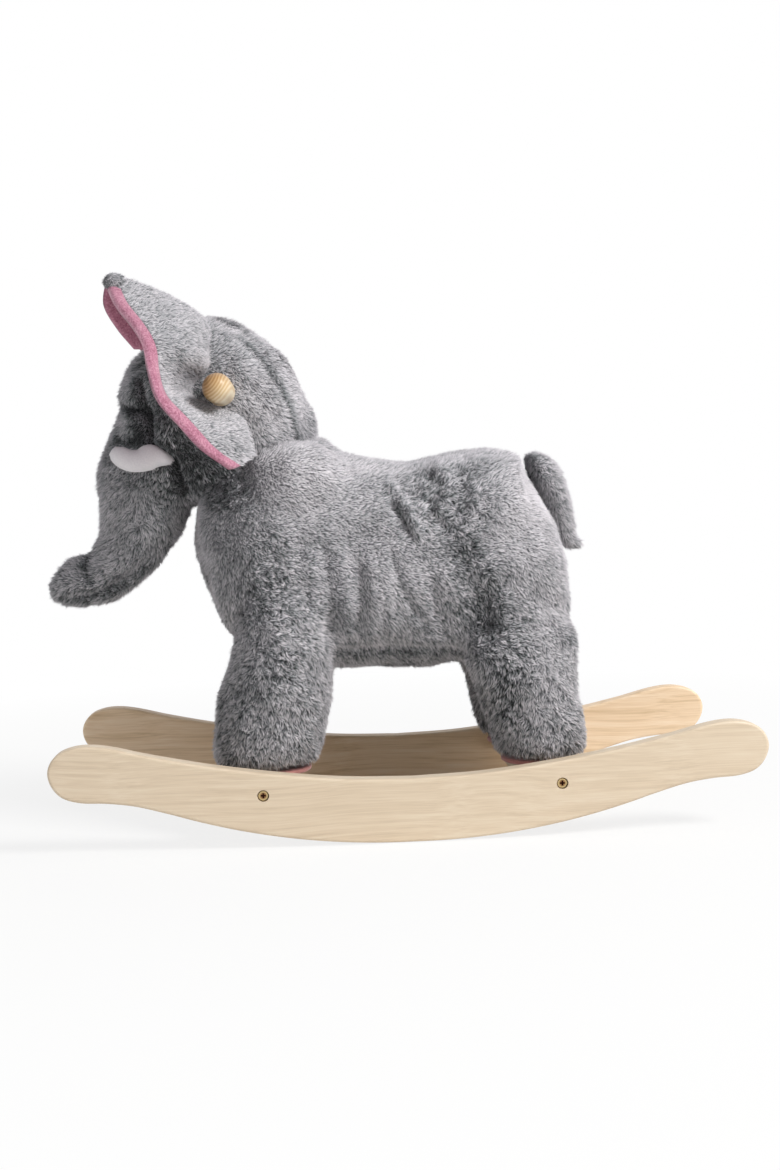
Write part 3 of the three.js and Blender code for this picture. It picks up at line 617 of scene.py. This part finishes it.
def spikeMesh(name, rows, shading, tone, paintedRootShade):
    count = len(rows)
    mesh = bpy.data.meshes.new(name)
    mesh.vertices.add(4 * count)
    mesh.vertices.foreach_set("co", toMetres(rows).ravel())
    loops = (4 * np.arange(count)[:, None] + [0, 1, 3, 2, 0, 3, 1, 2, 3]).ravel()
    mesh.loops.add(len(loops))
    mesh.loops.foreach_set("vertex_index", loops.astype(np.int32))
    mesh.polygons.add(3 * count)
    mesh.polygons.foreach_set("loop_start", (3 * np.arange(3 * count)).astype(np.int32))
    mesh.update(calc_edges=True)
    mesh.polygons.foreach_set("use_smooth", [True] * (3 * count))
    height = mesh.attributes.new("pileHeight", "FLOAT", "POINT")
    # painted shade deep in the pile: each strand runs from a dark root to a light tip on the ramp
    height.data.foreach_set("value", np.tile([paintedRootShade, paintedRootShade, paintedRootShade + 0.1, 1.0], count))
    shade = mesh.attributes.new("strandTone", "FLOAT", "POINT")
    shade.data.foreach_set("value", np.repeat(tone, 4))
    normal = mesh.attributes.new("custom_normal", "FLOAT_VECTOR", "POINT")
    normal.data.foreach_set("vector", np.repeat(shading, 4, axis=0).ravel())
    return mesh


# Body and legs, sewn from one pair of side panels with a belly panel between them
body = {
    "pileDepth": 4.8, "voxel": 3.6, "smoothing": 9, "lumps": [(2.2, 40), (1.0, 15)],
    "pile": {"spacing": 1.12, "length": 5.3, "width": 0.78, "lift": 0.55, "swirl": 0.4, "swirlSize": 24,
             "stray": 0.3, "tuft": 2.6, "gather": 0.34, "floor": 58.5, "toneSpread": 0.07, "tuftSpread": 0.07,
             "paintedRootShade": 0.18, "seamShade": 0.36,
             "bare": lambda places, facing: (facing[:, 2] < -0.6) & (places[:, 2] < 72)},
}
# place along x, underside, top, half width
bodyRows = [
    (-193, 262, 290, 18), (-188, 238, 322, 48), (-178, 205, 345, 67), (-160, 178, 356, 80),
    (-130, 158, 363, 88), (-74, 147, 371, 88), (-48, 145, 356, 87), (5, 144, 344, 86),
    (44, 146, 348, 88), (80, 149, 355, 91), (104, 151, 352, 92), (114, 151, 348, 92),
    (119.5, 151, 341.5, 92), (123, 152, 329.5, 91), (134, 154, 313, 88), (145, 159, 289, 84),
    (154, 170, 267, 74), (160, 188, 252, 52), (163, 205, 240, 20),
]
# fullness of the shoulders beside the neck
shoulderRows = [
    (-158, 262, 340, 52), (-146, 250, 356, 74), (-124, 246, 367, 84), (-98, 246, 370, 87),
    (-70, 250, 366, 86), (-52, 258, 352, 76),
]
# height, front and rear edge, half width
frontLegRows = [
    (62.2, -180, -85, 44), (72, -184, -81, 47), (89, -184, -77, 47), (126, -179, -70, 47),
    (154, -168, -65, 46), (182, -160, -67, 43.7), (215, -156, -74, 39), (254, -148, -84, 28),
]
rearLegRows = [
    (62.2, 83, 166, 44), (76, 79, 170, 47), (94, 74, 170, 47), (117, 67, 167, 47),
    (150, 56, 163, 46), (174, 51, 162, 44), (215, 56, 151, 39.5), (254, 66, 141, 28),
]
legY = 54
# seams and folds of the cover in the side view
bodyCreases = [
    {"line": [(-62, 166), (-24, 165), (41, 164), (60, 158)], "depth": 4.5, "width": 3.2, "from": 40},
    {"line": [(-9, 304), (-1, 290), (8, 274)], "depth": 5.0, "width": 2.6},
    {"line": [(-8, 320), (5, 299), (13, 276)], "depth": -6.0, "width": 4.0},
    {"line": [(24, 306), (30, 293), (38, 279)], "depth": 4.6, "width": 3.0},
    {"line": [(36, 336), (46, 322), (40, 304), (34, 296)], "depth": -4.0, "width": 6},
    {"line": [(52, 332), (58, 312), (54, 296)], "depth": 2.6, "width": 3.4},
    {"line": [(14, 334), (30, 326)], "depth": 2.5, "width": 6},
    {"line": [(52, 256), (64, 226), (72, 190)], "depth": 3.0, "width": 12},
    {"line": [(-88, 262), (-84, 230), (-84, 196)], "depth": -2.4, "width": 5},
    {"line": [(-74, 268), (-69, 230), (-68, 190)], "depth": 2.8, "width": 3.2},
    {"line": [(-58, 262), (-54, 230), (-54, 184)], "depth": -2.6, "width": 4.6},
    {"line": [(-42, 252), (-41, 220), (-42, 186)], "depth": 2.4, "width": 3.2},
    {"line": [(-30, 248), (-29, 214), (-31, 184)], "depth": -2.4, "width": 5.5},
    {"line": [(-12, 262), (-4, 228), (8, 204), (18, 190)], "depth": 3.0, "width": 2.8},
    {"line": [(-20, 248), (-16, 216), (-12, 186)], "depth": -1.8, "width": 5},
    {"line": [(24, 232), (30, 204), (36, 180)], "depth": 2.0, "width": 6},
]
# patches that look darker or lighter: some where the nap lies the other way, and many of painted shade and
# painted light: the ear's shadow under its tip, shade on the fronts of the legs and along the belly, light on
# the rump, the shoulder and the back of the hind leg. x, z, reach along x and z, tone
bodyNapAndPaintedLight = [
    (-160, 322, 20, 17, -0.65), (-122, 254, 20, 46, -0.24), (-176, 262, 9, 50, 0.1),
    (-108, 162, 18, 14, -0.16), (-80, 150, 14, 30, 0.12), (56, 250, 16, 34, -0.2), (78, 200, 16, 34, -0.24),
    (90, 132, 20, 46, -0.3), (116, 290, 28, 54, 0.32), (134, 168, 18, 50, 0.22), (-98, 330, 50, 36, 0.34),
    (-36, 330, 30, 30, 0.04), (-36, 240, 50, 40, 0.13), (28, 316, 34, 24, -0.07),
    (-6, 155, 60, 7, -0.1), (-150, 130, 20, 40, -0.08), (36, 328, 10, 14, 0.1),
]
# where the pile is ruffled, in the same form: its strands curl and stand up
bodyRough = [
    (42, 298, 44, 34, 0.9), (70, 215, 22, 40, 0.6), (118, 130, 44, 60, 0.55), (-122, 190, 36, 40, 0.5),
    (-124, 115, 44, 50, 0.5), (-154, 320, 26, 20, 0.6),
]


def combBody(points, facing):
    x, z = points[:, 0], points[:, 2]
    backward = np.array([1.0, 0.0, -0.45])
    downward = np.array([0.15, 0.0, -1.0])
    share = np.clip(smoothStep(200, 130, z) + smoothStep(80, 150, x) * 0.85
                    + smoothStep(-110, -180, x) * 0.7, 0, 1)[:, None]
    return backward * (1 - share) + downward * share


def legForms(rows, side):
    rows = np.asarray(rows, dtype=float)
    centres = np.stack([(rows[:, 1] + rows[:, 2]) / 2, 0 * rows[:, 0] + side * legY, rows[:, 0]], axis=1)
    return stuffedForm(centres, (rows[:, 2] - rows[:, 1]) / 2, rows[:, 3], (1, 0, 0), 2.3, 48, 56)


def addBody():
    forms = [uprightForm(bodyRows, 2.5), uprightForm(shoulderRows, 3.4)]
    forms += [legForms(rows, side) for rows in (frontLegRows, rearLegRows) for side in sides.values()]
    mesh = joinForms("body_skin", forms, body["voxel"], body["smoothing"])
    shapeSkin(mesh, bodyCreases, body["lumps"], 3, body["pileDepth"])
    skin = newPiece("body_skin", mesh, finishes["backing"])
    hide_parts("body", "leg_front_left", "leg_front_right", "leg_rear_left", "leg_rear_right")
    # cut into stretches along the body, which keeps each piece light enough to open
    stretches = {"front": (-400, -110), "shoulder": (-110, 10), "loin": (10, 95), "rear": (95, 400)}
    parts = {}
    for stretch, (start, end) in stretches.items():
        for name, side in sides.items():
            parts[stretch + "_" + name] = lambda places, start=start, end=end, side=side: (
                (places[:, 0] >= start) & (places[:, 0] < end) & ((places[:, 1] >= 0) == (side > 0)))
    pile = {**body["pile"], "nap": bodyNapAndPaintedLight, "rough": bodyRough, "creases": bodyCreases}
    growPile("body_pile_", mesh, pile, combBody, mainBody, 11, parts)


# Head and trunk
head = {
    "pileDepth": 4.8, "voxel": 3.2, "smoothing": 6, "lumps": [(1.8, 30), (1.1, 13)],
    "pile": {"spacing": 1.1, "length": 5.6, "width": 0.78, "lift": 0.6, "swirl": 0.5, "swirlSize": 20,
             "stray": 0.32, "tuft": 2.6, "gather": 0.36, "toneSpread": 0.07, "tuftSpread": 0.08,
             "paintedRootShade": 0.16, "seamShade": 0.75},
}
headRows = [
    (-75, 352, 388, 16), (-80, 342, 402, 36), (-91, 334, 429, 55), (-113, 322, 457, 68),
    (-143, 312, 479, 76), (-172, 306, 486, 79), (-200, 308, 480, 76), (-227, 320, 463, 66),
    (-248, 342, 445, 50), (-260, 370, 421, 30), (-264, 386, 402, 12),
]
# centre x and z, half depth, half width
trunkRows = [
    (-212, 392, 40, 40), (-224, 368, 49, 48), (-237, 331, 50.5, 43), (-244, 296.5, 44, 38),
    (-261.5, 261.5, 32.5, 31), (-286, 241, 28.5, 28), (-308, 237.5, 29, 27), (-324.5, 239, 24, 21),
    (-332, 241, 11.5, 10),
]
headRough = [(-262, 300, 60, 60, 0.4), (-186, 360, 30, 40, 0.3)]
# seams and folds: the gusset behind the ear, the brow, the cheek and the trunk
headCreases = [
    {"line": [(-146, 462), (-124, 440), (-108, 416), (-98, 388), (-93, 366)], "depth": 2.6, "width": 3,
     "from": 18},
    {"line": [(-236, 424), (-234, 408), (-232, 394)], "depth": 6.0, "width": 4.5, "from": 12},
    {"line": [(-262, 402), (-250, 400), (-241, 397), (-234, 391)], "depth": 9.0, "width": 5, "from": 6},
    {"line": [(-232, 394), (-232, 384), (-231, 376)], "depth": 17.0, "width": 6, "from": 14},
    {"line": [(-240, 372), (-250, 368), (-262, 371)], "depth": 4.0, "width": 6, "from": 14},
    {"line": [(-231, 376), (-229, 364), (-208, 346), (-203, 324), (-192, 304)], "depth": 10.0, "width": 4.5,
     "from": 24},
    {"line": [(-294, 266), (-298, 250), (-291, 238)], "depth": 4.0, "width": 4.5},
    {"line": [(-318, 221), (-292, 223), (-262, 233), (-238, 253)], "depth": 3.5, "width": 4, "from": 8},
]
# patches that look darker or lighter, in the body's form: painted shade for the ear's shadow on the cheek and
# brow and in the eye hollow, and painted light on the back of the head
headNapAndPaintedLight = [(-190, 350, 34, 44, -0.66), (-234, 388, 12, 20, -0.35), (-236, 430, 20, 34, -0.2),
           (-266, 285, 46, 60, 0.06), (-130, 395, 34, 44, 0.12)]


def combHead(points, facing):
    x, z = points[:, 0], points[:, 2]
    backOfHead = np.array([0.75, 0.0, -0.65])
    face = np.array([-0.1, 0.0, -1.0])
    nose = np.array([-0.9, 0.0, -0.4])
    front = smoothStep(-190, -235, x)[:, None]
    low = smoothStep(285, 250, z)[:, None]
    return (backOfHead * (1 - front) + face * front) * (1 - low) + nose * low


def addHead():
    forms = [uprightForm(headRows, 2.2), hangingForm(trunkRows)]
    mesh = joinForms("head_skin", forms, head["voxel"], head["smoothing"])
    shapeSkin(mesh, headCreases, head["lumps"], 5, head["pileDepth"])
    skin = newPiece("head_skin", mesh, finishes["backing"])
    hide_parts("head", "trunk")
    pile = {**head["pile"], "nap": headNapAndPaintedLight, "rough": headRough, "creases": headCreases}
    growPile("head_pile_", mesh, pile, combHead, mainBody, 21, {
        "left": lambda places: places[:, 1] < 0, "right": lambda places: places[:, 1] >= 0})


# Ears: a cupped leaf with a plush back, and a fleece lining folded round its edge
ear = {
    "backThickness": 3.0, "liningThickness": 3.5, "band": 12.0, "bandHeight": 4.2, "rows": 96, "columns": 40,
    "pile": {"spacing": 1.1, "length": 4.2, "width": 0.8, "lift": 0.45, "swirl": 0.26, "swirlSize": 24,
             "stray": 0.26, "tuft": 2.7, "gather": 0.28, "toneSpread": 0.07, "tuftSpread": 0.08,
             "paintedRootShade": 0.29, "lapOverBand": 2.2, "clearOf": [(-161, 410, 22)]},
    "tipPileLength": 3.2, "gap": 0.3, "liningStart": 0.06, "liningColumns": 60, "edgeRoll": 4.5,
}
# root, belly and rim of each row, as x, distance from the middle, and height
earRows = [
    ((-206, 86, 446), (-221, 85, 449), (-237, 84, 450)),
    ((-196, 78, 458), (-225, 81, 463), (-251, 87, 468)),
    ((-187, 69, 470), (-226, 77, 481), (-261, 97, 489)),
    ((-179, 58, 477), (-213, 82, 499), (-256, 105, 511)),
    ((-174, 56, 470), (-192, 98, 494), (-255, 114, 501)),
    ((-174, 64, 459), (-180, 118, 475), (-247, 131, 484)),
    ((-175, 71, 446), (-176, 132, 457), (-233, 147, 466)),
    ((-176, 77, 431), (-174, 142, 440), (-223, 160, 449)),
    ((-187, 84, 419), (-195, 132, 421), (-217, 172, 428)),
    ((-188, 88, 404), (-194, 136, 404), (-209, 180, 401)),
    ((-168, 98, 393), (-160, 140, 390), (-192, 178, 377)),
    ((-146, 108, 384), (-138, 142, 366), (-175, 169, 356)),
    ((-134, 122, 352), (-138, 138, 344), (-153, 151, 339)),
]
# the folded point: x, distance from the middle, height, half depth, half width
earTip = [
    (-241, 103, 507.5, 3, 3.5), (-244.5, 105.5, 507.4, 5.6, 6), (-248.5, 109, 507, 6.8, 7.4),
    (-252.5, 112, 506.2, 6.4, 7), (-255.8, 114, 505.4, 3.2, 3.8),
]
tipRow = 3.45    # there the plush laps over the fleece in a small grey lip


def earSurface(side):
    # rows by columns of points on the middle surface, with distances from the rim
    shares = np.linspace(0, 1, ear["rows"])
    rows = np.asarray(earRows, dtype=float)
    root, belly, rim = (smoothThrough(rows[:, k] * [1, side, 1], shares) for k in range(3))
    t = np.linspace(0, 1, 80)[None, :, None]
    dense = root[:, None] * (1 - t) ** 2 + 2 * belly[:, None] * t * (1 - t) + rim[:, None] * t ** 2
    steps = np.linalg.norm(np.diff(dense, axis=1), axis=2)
    return dense, np.hstack([np.zeros((len(dense), 1)), np.cumsum(steps, axis=1)])


def bandWidths():
    # width of the fleece that laps over the plush, row by row
    places = np.linspace(0, 1, ear["rows"]) * (len(earRows) - 1)
    return ear["band"] * smoothStep(0.4, 0.7, np.abs(places - tipRow))


def earAt(dense, travelled, fromRim, shareFromRoot, columns):
    # columns of the sheet: evenly from the root to fromRim millimetres short of the rim
    grid = np.empty((len(dense), columns, 3))
    for row in range(len(dense)):
        end = max(travelled[row, -1] - fromRim[row], 0.3 * travelled[row, -1])
        reads = np.linspace(shareFromRoot * end, end, columns)
        for axis in range(3):
            grid[row, :, axis] = np.interp(reads, travelled[row], dense[row, :, axis])
    return grid


def sheetNormals(grid, side):
    down = np.gradient(grid, axis=0)
    out = np.gradient(grid, axis=1)
    return unit(np.cross(down, out) * side)


def closedSheet(name, layers):
    # layers: grids of points that follow one another round the sheet's section
    ring = np.concatenate(layers, axis=1)
    rows, around = ring.shape[:2]
    points = ring.reshape(-1, 3)
    faces = [(a, d, c, b) for a, b, c, d in ringFaces(rows, around)]
    for row, way in ((0, 1), (rows - 1, -1)):
        middle = ring[row].mean(axis=0)
        points = np.vstack([points, middle])
        for step in range(around):
            pair = (row * around + step, row * around + (step + 1) % around)
            faces.append((*(pair[::way]), len(points) - 1))
    return newMesh(name, points, faces)


def addEar(name, side):
    bodyName = "ear_" + name
    dense, travelled = earSurface(side)
    sheet = earAt(dense, travelled, bandWidths(), 0.0, ear["columns"])
    normals = sheetNormals(sheet, side)
    near = sheet + normals * ear["gap"]
    far = sheet + normals * ear["backThickness"]
    backMesh = closedSheet("ear_back_" + name, [near, far[:, ::-1]])
    back = newPiece("ear_skin_" + name, backMesh, finishes["backing"], bodyName)
    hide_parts("ear_back_" + name)
    ground = earAt(dense, travelled, bandWidths() - ear["pile"]["lapOverBand"], 0.0, ear["columns"])
    ground = ground + sheetNormals(ground, side) * ear["backThickness"]
    pileMesh = gridMesh("ear_pile_ground_" + name, ground, side)
    inward = unit((far[:, 0] - far[:, -1]).mean(axis=0))
    comb = combAlong(inward * 0.7 + [0.3, 0, -0.3])
    growPile("ear_pile_", pileMesh, ear["pile"], comb, bodyName, 31, {name: everywhere})
    bpy.data.meshes.remove(pileMesh)
    addEarLining(name, side, dense, travelled)
    addEarTip(name, side)


def addEarTip(name, side):
    # the plush is folded over at the ear's point and sewn down on the fleece
    mesh = newMesh("ear_tip_" + name, *pathForm(earTip, side, 20, 28))
    tip = newPiece("ear_tip_" + name, mesh, finishes["backing"], "ear_" + name)
    pile = {**ear["pile"], "length": ear["tipPileLength"]}
    growPile("ear_tip_pile_", mesh, pile, combAlong([0.6, 0.0, -0.5]), "ear_" + name, 37, {name: everywhere})


def gridMesh(name, grid, side):
    rows, columns = grid.shape[:2]
    faces = [(r * columns + c, (r + 1) * columns + c, (r + 1) * columns + c + 1, r * columns + c + 1)
             for r in range(rows - 1) for c in range(columns - 1)]
    return newMesh(name, grid.reshape(-1, 3), [face[::side] for face in faces])


def addEarLining(name, side, dense, travelled):
    whole = earAt(dense, travelled, 0 * bandWidths(), ear["liningStart"], ear["liningColumns"])
    normals = sheetNormals(whole, side)
    steps = np.linalg.norm(np.diff(whole, axis=1), axis=2)
    fromRim = np.hstack([np.cumsum(steps[:, ::-1], axis=1)[:, ::-1], np.zeros((len(whole), 1))])
    band = bandWidths()[:, None]
    inBand = smoothStep(band + 1.0, band - 1.5, fromRim)
    roll = np.sqrt(np.clip(1 - (1 - fromRim / ear["edgeRoll"]).clip(0, 1) ** 2, 0.0, 1))
    back = -ear["gap"] + inBand * (ear["bandHeight"] + ear["gap"]) * roll
    front = -ear["gap"] - ear["liningThickness"] * roll
    layers = [whole + normals * front[..., None], (whole + normals * back[..., None])[:, ::-1]]
    mesh = closedSheet("ear_lining_" + name, layers)
    lining = newPiece("ear_fleece_" + name, mesh, finishes["fleece"], "ear_" + name)
    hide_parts("ear_lining_" + name)


# Tusks: place along x, distance from the middle, height, half depth, half width
tuskRows = [
    (-205, 41, 347.5, 1.8, 2), (-211, 48, 349.5, 4.4, 5), (-219, 56, 352, 7.8, 8),
    (-228, 61.5, 353, 11.8, 9), (-238, 64.5, 350, 10.4, 8.6), (-248, 65.5, 350.8, 9.8, 8),
    (-256.5, 65.5, 355.6, 8.8, 7), (-262, 65, 360, 4.8, 4.4),
]


def addTusk(name, side):
    mesh = newMesh("tusk_felt_" + name, *pathForm(tuskRows, side, 40, 36))
    piece = newPiece("tusk_felt_" + name, mesh, finishes["tuskFelt"])
    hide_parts("tusk_" + name)


# Tail: a flat stuffed flap sewn on at its top
tail = {
    "pileDepth": 3.8, "voxel": 2.6, "smoothing": 4, "lumps": [(0.8, 20)],
    "pile": {"spacing": 1.1, "length": 5.2, "width": 0.8, "lift": 0.6, "swirl": 0.3, "swirlSize": 20,
             "stray": 0.3, "tuft": 2.8, "gather": 0.3, "toneSpread": 0.09, "tuftSpread": 0.1,
             "paintedRootShade": 0.34},
}
# centre x and z, half depth, half width
tailRows = [
    (125.5, 342, 5, 14), (131, 341, 10, 20), (139.8, 333.4, 15.2, 24), (147.7, 321.5, 17.2, 24.5),
    (154.6, 302.7, 15.8, 24), (159.6, 283.8, 14.3, 22), (163.8, 268.8, 12.7, 18), (169, 260, 9.5, 13),
    (173.5, 258, 7.5, 9), (178.5, 258, 7, 8), (183, 258, 4, 4),
]


def addTail():
    mesh = joinForms("tail_skin", [hangingForm(tailRows, 2.4)], tail["voxel"], tail["smoothing"])
    shapeSkin(mesh, [], tail["lumps"], 7, tail["pileDepth"])
    skin = newPiece("tail_skin", mesh, finishes["backing"], "tail")
    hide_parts("tail")
    growPile("tail_", mesh, tail["pile"], combAlong([0.45, 0.0, -1.0]), "tail", 41, {"pile": everywhere})


# Felt soles: distance from the middle and height, as shares of the CAD sole's half size
sole = {
    "profile": [(0.84, -1), (0.89, -0.6), (0.9, 0), (0.89, 0.6), (0.84, 1)],
    "around": 72, "waves": 9, "waveHeight": 0.006,
}


def addSoles():
    for corner in ("front_left", "front_right", "rear_left", "rear_right"):
        node = "sole_" + corner
        low, high = (fromMetres(c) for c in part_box(node))
        centre, half = (low + high) / 2, (high - low) / 2
        angle = np.linspace(0, 2 * math.pi, sole["around"], endpoint=False)
        points = []
        for out, up in sole["profile"]:
            wave = 1 + sole["waveHeight"] * np.sin(sole["waves"] * angle) * out
            points.append(np.stack([centre[0] + half[0] * out * wave * np.cos(angle),
                                    centre[1] + half[1] * out * wave * np.sin(angle),
                                    centre[2] + half[2] * up + 0 * angle], axis=1))
        faces = cappedFaces(len(points), sole["around"])
        piece = newPiece("felt_" + node, newMesh("felt_" + node, np.vstack(points), faces, False),
                         finishes["felt"])
        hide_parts(node)


# Rockers
rocker = {
    "length": 650, "thickness": 18, "inner": 110, "radius": 650, "restFlat": 20, "tipTop": 98,
    "arcShare": 0.63, "edgeRound": 2.6, "edgeSteps": 5, "boreRadius": 5.3, "boreDepth": 4.6,
    # the right rocker takes the poplar painted warmer for bounced light
    "finish": {"left": "poplar", "right": "warmBouncePoplar"},
}


def rockerOutline():
    half = rocker["length"] / 2
    run = np.linspace(0, rocker["arcShare"] * half, 30)
    rise = rocker["radius"] - np.sqrt(rocker["radius"] ** 2 - run ** 2)
    under = np.stack([rocker["restFlat"] / 2 + run, rise], axis=1)
    # upper tip and upper edge, as shares of the half length and of the tip's height
    sweepShares = [
        (0.76, 0.43), (0.84, 0.47), (0.91, 0.485), (0.96, 0.535), (0.989, 0.635), (1, 0.765),
        (0.987, 0.885), (0.955, 0.965), (0.9, 1), (0.83, 0.975), (0.72, 0.885), (0.56, 0.775),
        (0.38, 0.68), (0.19, 0.61), (0, 0.587),
    ]
    sweep = smoothThrough([under[-1]] + [(half * a, rocker["tipTop"] * b) for a, b in sweepShares],
                          np.linspace(0, 1, 110))
    right = np.vstack([under, sweep[1:]])
    return np.vstack([right, (right * [-1, 1])[::-1][1:]])


def insetOutline(outline, inset):
    before = unit(outline - np.roll(outline, 1, axis=0))
    after = unit(np.roll(outline, -1, axis=0) - outline)
    along = unit(before + after)
    return outline + inset * np.stack([-along[:, 1], along[:, 0]], axis=1)


def addRocker(name, side):
    outline = rockerOutline()
    angles = np.linspace(0, math.pi / 2, rocker["edgeSteps"])
    edge = rocker["edgeRound"]
    section = [(edge * (1 - math.sin(a)), edge * (1 - math.cos(a))) for a in angles]
    outer = rocker["inner"] + rocker["thickness"]
    layers = [(inset, rocker["inner"] + depth) for inset, depth in section]
    layers += [(inset, outer - depth) for inset, depth in section[::-1]]
    points = []
    for inset, y in layers:
        ring = insetOutline(outline, inset)
        points.append(np.stack([ring[:, 0], 0 * ring[:, 0] + side * y, ring[:, 1]], axis=1))
    faces = [face[::side] for face in cappedFaces(len(layers), len(outline))]
    mesh = newMesh("rocker_board_" + name, np.vstack(points), faces, False)
    thing = bpy.data.objects.new("rocker_board_" + name, mesh)
    bpy.context.collection.objects.link(thing)
    for x in (-screw["out"], screw["out"]):
        cutBore(thing, x, side * outer)
    mesh = thing.data
    bpy.data.objects.remove(thing)
    mesh.polygons.foreach_set("use_smooth", [False] * len(mesh.polygons))
    piece = newPiece("rocker_board_" + name, mesh, finishes[rocker["finish"][name]])
    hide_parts("rocker_" + name)


def cutBore(thing, x, y):
    # a counterbore for a screw head; half of the cutter stands outside the board
    bpy.ops.mesh.primitive_cylinder_add(
        vertices=48, radius=rocker["boreRadius"] * mm, depth=2 * rocker["boreDepth"] * mm,
        location=toMetres((x, y, screw["height"]))[0], rotation=(math.pi / 2, 0, 0))
    tool = bpy.context.object
    cut = thing.modifiers.new("bore", "BOOLEAN")
    cut.object = tool
    cut.operation = "DIFFERENCE"
    cut.solver = "EXACT"
    applyModifiers(thing)
    bpy.data.objects.remove(tool)


# Hand grip, a turned shape
def turnedMesh(name, profile, around, centre):
    # profile: distance from the axis, which runs along y, and place along it
    angle = np.linspace(0, 2 * math.pi, around, endpoint=False)
    points = []
    for radius, along in profile:
        ring = np.zeros((around, 3))
        ring[:, 0] = centre[0] + radius * np.cos(angle)
        ring[:, 1] = centre[1] + along
        ring[:, 2] = centre[2] + radius * np.sin(angle)
        points.append(ring)
    faces = [face[::-1] for face in cappedFaces(len(profile), around)]
    return newMesh(name, np.vstack(points), faces)


grip = {"halfLength": 165.0, "radius": 13.0}


def addGrip():
    low, high = (fromMetres(c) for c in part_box("handle_bar"))
    centre = (low + high) / 2
    # egg-shaped ends: the fullest place lies a little in from the end
    ends = [(0.02, 0.0), (0.2, 0.3), (0.42, 1.3), (0.64, 3.4), (0.81, 7.0), (0.92, 12.0), (0.98, 18.0),
            (1.0, 24.0), (1.0, 32.0), (0.995, 44.0), (0.99, 60.0)]
    half = [(grip["radius"] * r, grip["halfLength"] - d) for r, d in ends]
    smoothHalf = smoothThrough(half, np.linspace(0, 1, 60))
    profile = np.vstack([smoothHalf * [1, -1], smoothHalf[::-1]])
    mesh = turnedMesh("grip_bar", profile, 64, centre)
    piece = newPiece("grip_bar", mesh, finishes["turnedBeech"])
    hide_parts("handle_bar")


# CAD pieces that keep their shape and take a finish
frameFinishes = {
    "screw": "bronze", "cross_board": "poplar", "leg_post": "innerWood", "seat_board": "innerWood",
    "neck_post": "innerWood", "rocker_dowel": "innerWood", "handle_pin": "innerWood",
}


def finishFrame():
    for name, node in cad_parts.items():
        # the first word that fits decides, so a screw in a leg post is a screw
        for word, finish in frameFinishes.items():
            if word in name:
                node.data.materials.clear()
                node.data.materials.append(finishes[finish])
                break


# Floor, sky and lamps
studio = {
    "keyPower": 118.0, "keyPlace": (2200, -1600, 2500), "keySize": 1100,
    "fillPower": 3.0, "fillPlace": (-1400, -1300, 700), "fillSize": 1200,
    "ambient": 0.36, "floor": "f2f1ee", "floorSize": 12, "floorDrop": 0.5, "aimHeight": 220,
}


def addLamp(name, place, power, size):
    lamp = bpy.data.lights.new(name, "AREA")
    lamp.energy = power
    lamp.size = size * mm
    thing = bpy.data.objects.new(name, lamp)
    thing.location = toMetres(place)[0]
    aim = Vector(toMetres((0, 0, studio["aimHeight"]))[0]) - thing.location
    thing.rotation_euler = aim.to_track_quat("-Z", "Y").to_euler()
    bpy.context.collection.objects.link(thing)


def addStudio():
    world = bpy.data.worlds.new("studio")
    bpy.context.scene.world = world
    world.use_nodes = True
    world.node_tree.nodes.clear()
    ambient = addNode(world, "ShaderNodeBackground",
                      {"Color": hexColour("f4f5fa"), "Strength": studio["ambient"]})
    white = addNode(world, "ShaderNodeBackground", {"Color": (1, 1, 1, 1), "Strength": 1.0})
    path = addNode(world, "ShaderNodeLightPath")
    direct = addMath(world, "MAXIMUM", path.outputs["Is Camera Ray"], path.outputs["Is Glossy Ray"])
    seen = addMath(world, "MAXIMUM", direct, path.outputs["Is Transmission Ray"])
    sky = addNode(world, "ShaderNodeMixShader", links={0: seen, 1: ambient.outputs[0], 2: white.outputs[0]})
    addNode(world, "ShaderNodeOutputWorld", links={"Surface": sky.outputs[0]})
    bpy.ops.mesh.primitive_plane_add(size=studio["floorSize"], location=(0, 0, -studio["floorDrop"] * mm))
    floor = bpy.context.object
    floor.name = "studio_floor"
    material, place = startMaterial("paleFloor")
    plain = addNode(material, "ShaderNodeBsdfDiffuse", {"Color": hexColour(studio["floor"])})
    glow = addNode(material, "ShaderNodeEmission", {"Color": (1, 1, 1, 1), "Strength": 1.0})
    path = addNode(material, "ShaderNodeLightPath")
    # near the toy the floor takes its shadow, and further out it fades into the white
    away = addNode(material, "ShaderNodeVectorMath", {"operation": "LENGTH"}, {0: place}).outputs["Value"]
    fade = addRange(material, {"From Min": 0.35, "From Max": 1.1, "To Min": 0.82, "To Max": 1.0}, away)
    share = addMath(material, "MULTIPLY", path.outputs["Is Camera Ray"], fade)
    mix = addNode(material, "ShaderNodeMixShader", links={0: share, 1: plain.outputs[0], 2: glow.outputs[0]})
    addNode(material, "ShaderNodeOutputMaterial", links={"Surface": mix.outputs[0]})
    floor.data.materials.append(material)
    addLamp("key", studio["keyPlace"], studio["keyPower"], studio["keySize"])
    addLamp("fill", studio["fillPlace"], studio["fillPower"], studio["fillSize"])
    bpy.context.scene.view_settings.view_transform = "Standard"


print("camera and studio")
addCamera()
addStudio()
print("body and legs")
addBody()
print("head and trunk")
addHead()
print("ears, tusks, tail")
for name, side in sides.items():
    addEar(name, side)
    addTusk(name, side)
addTail()
print("soles, rockers, grip")
addSoles()
for name, side in sides.items():
    addRocker(name, side)
addGrip()
finishFrame()
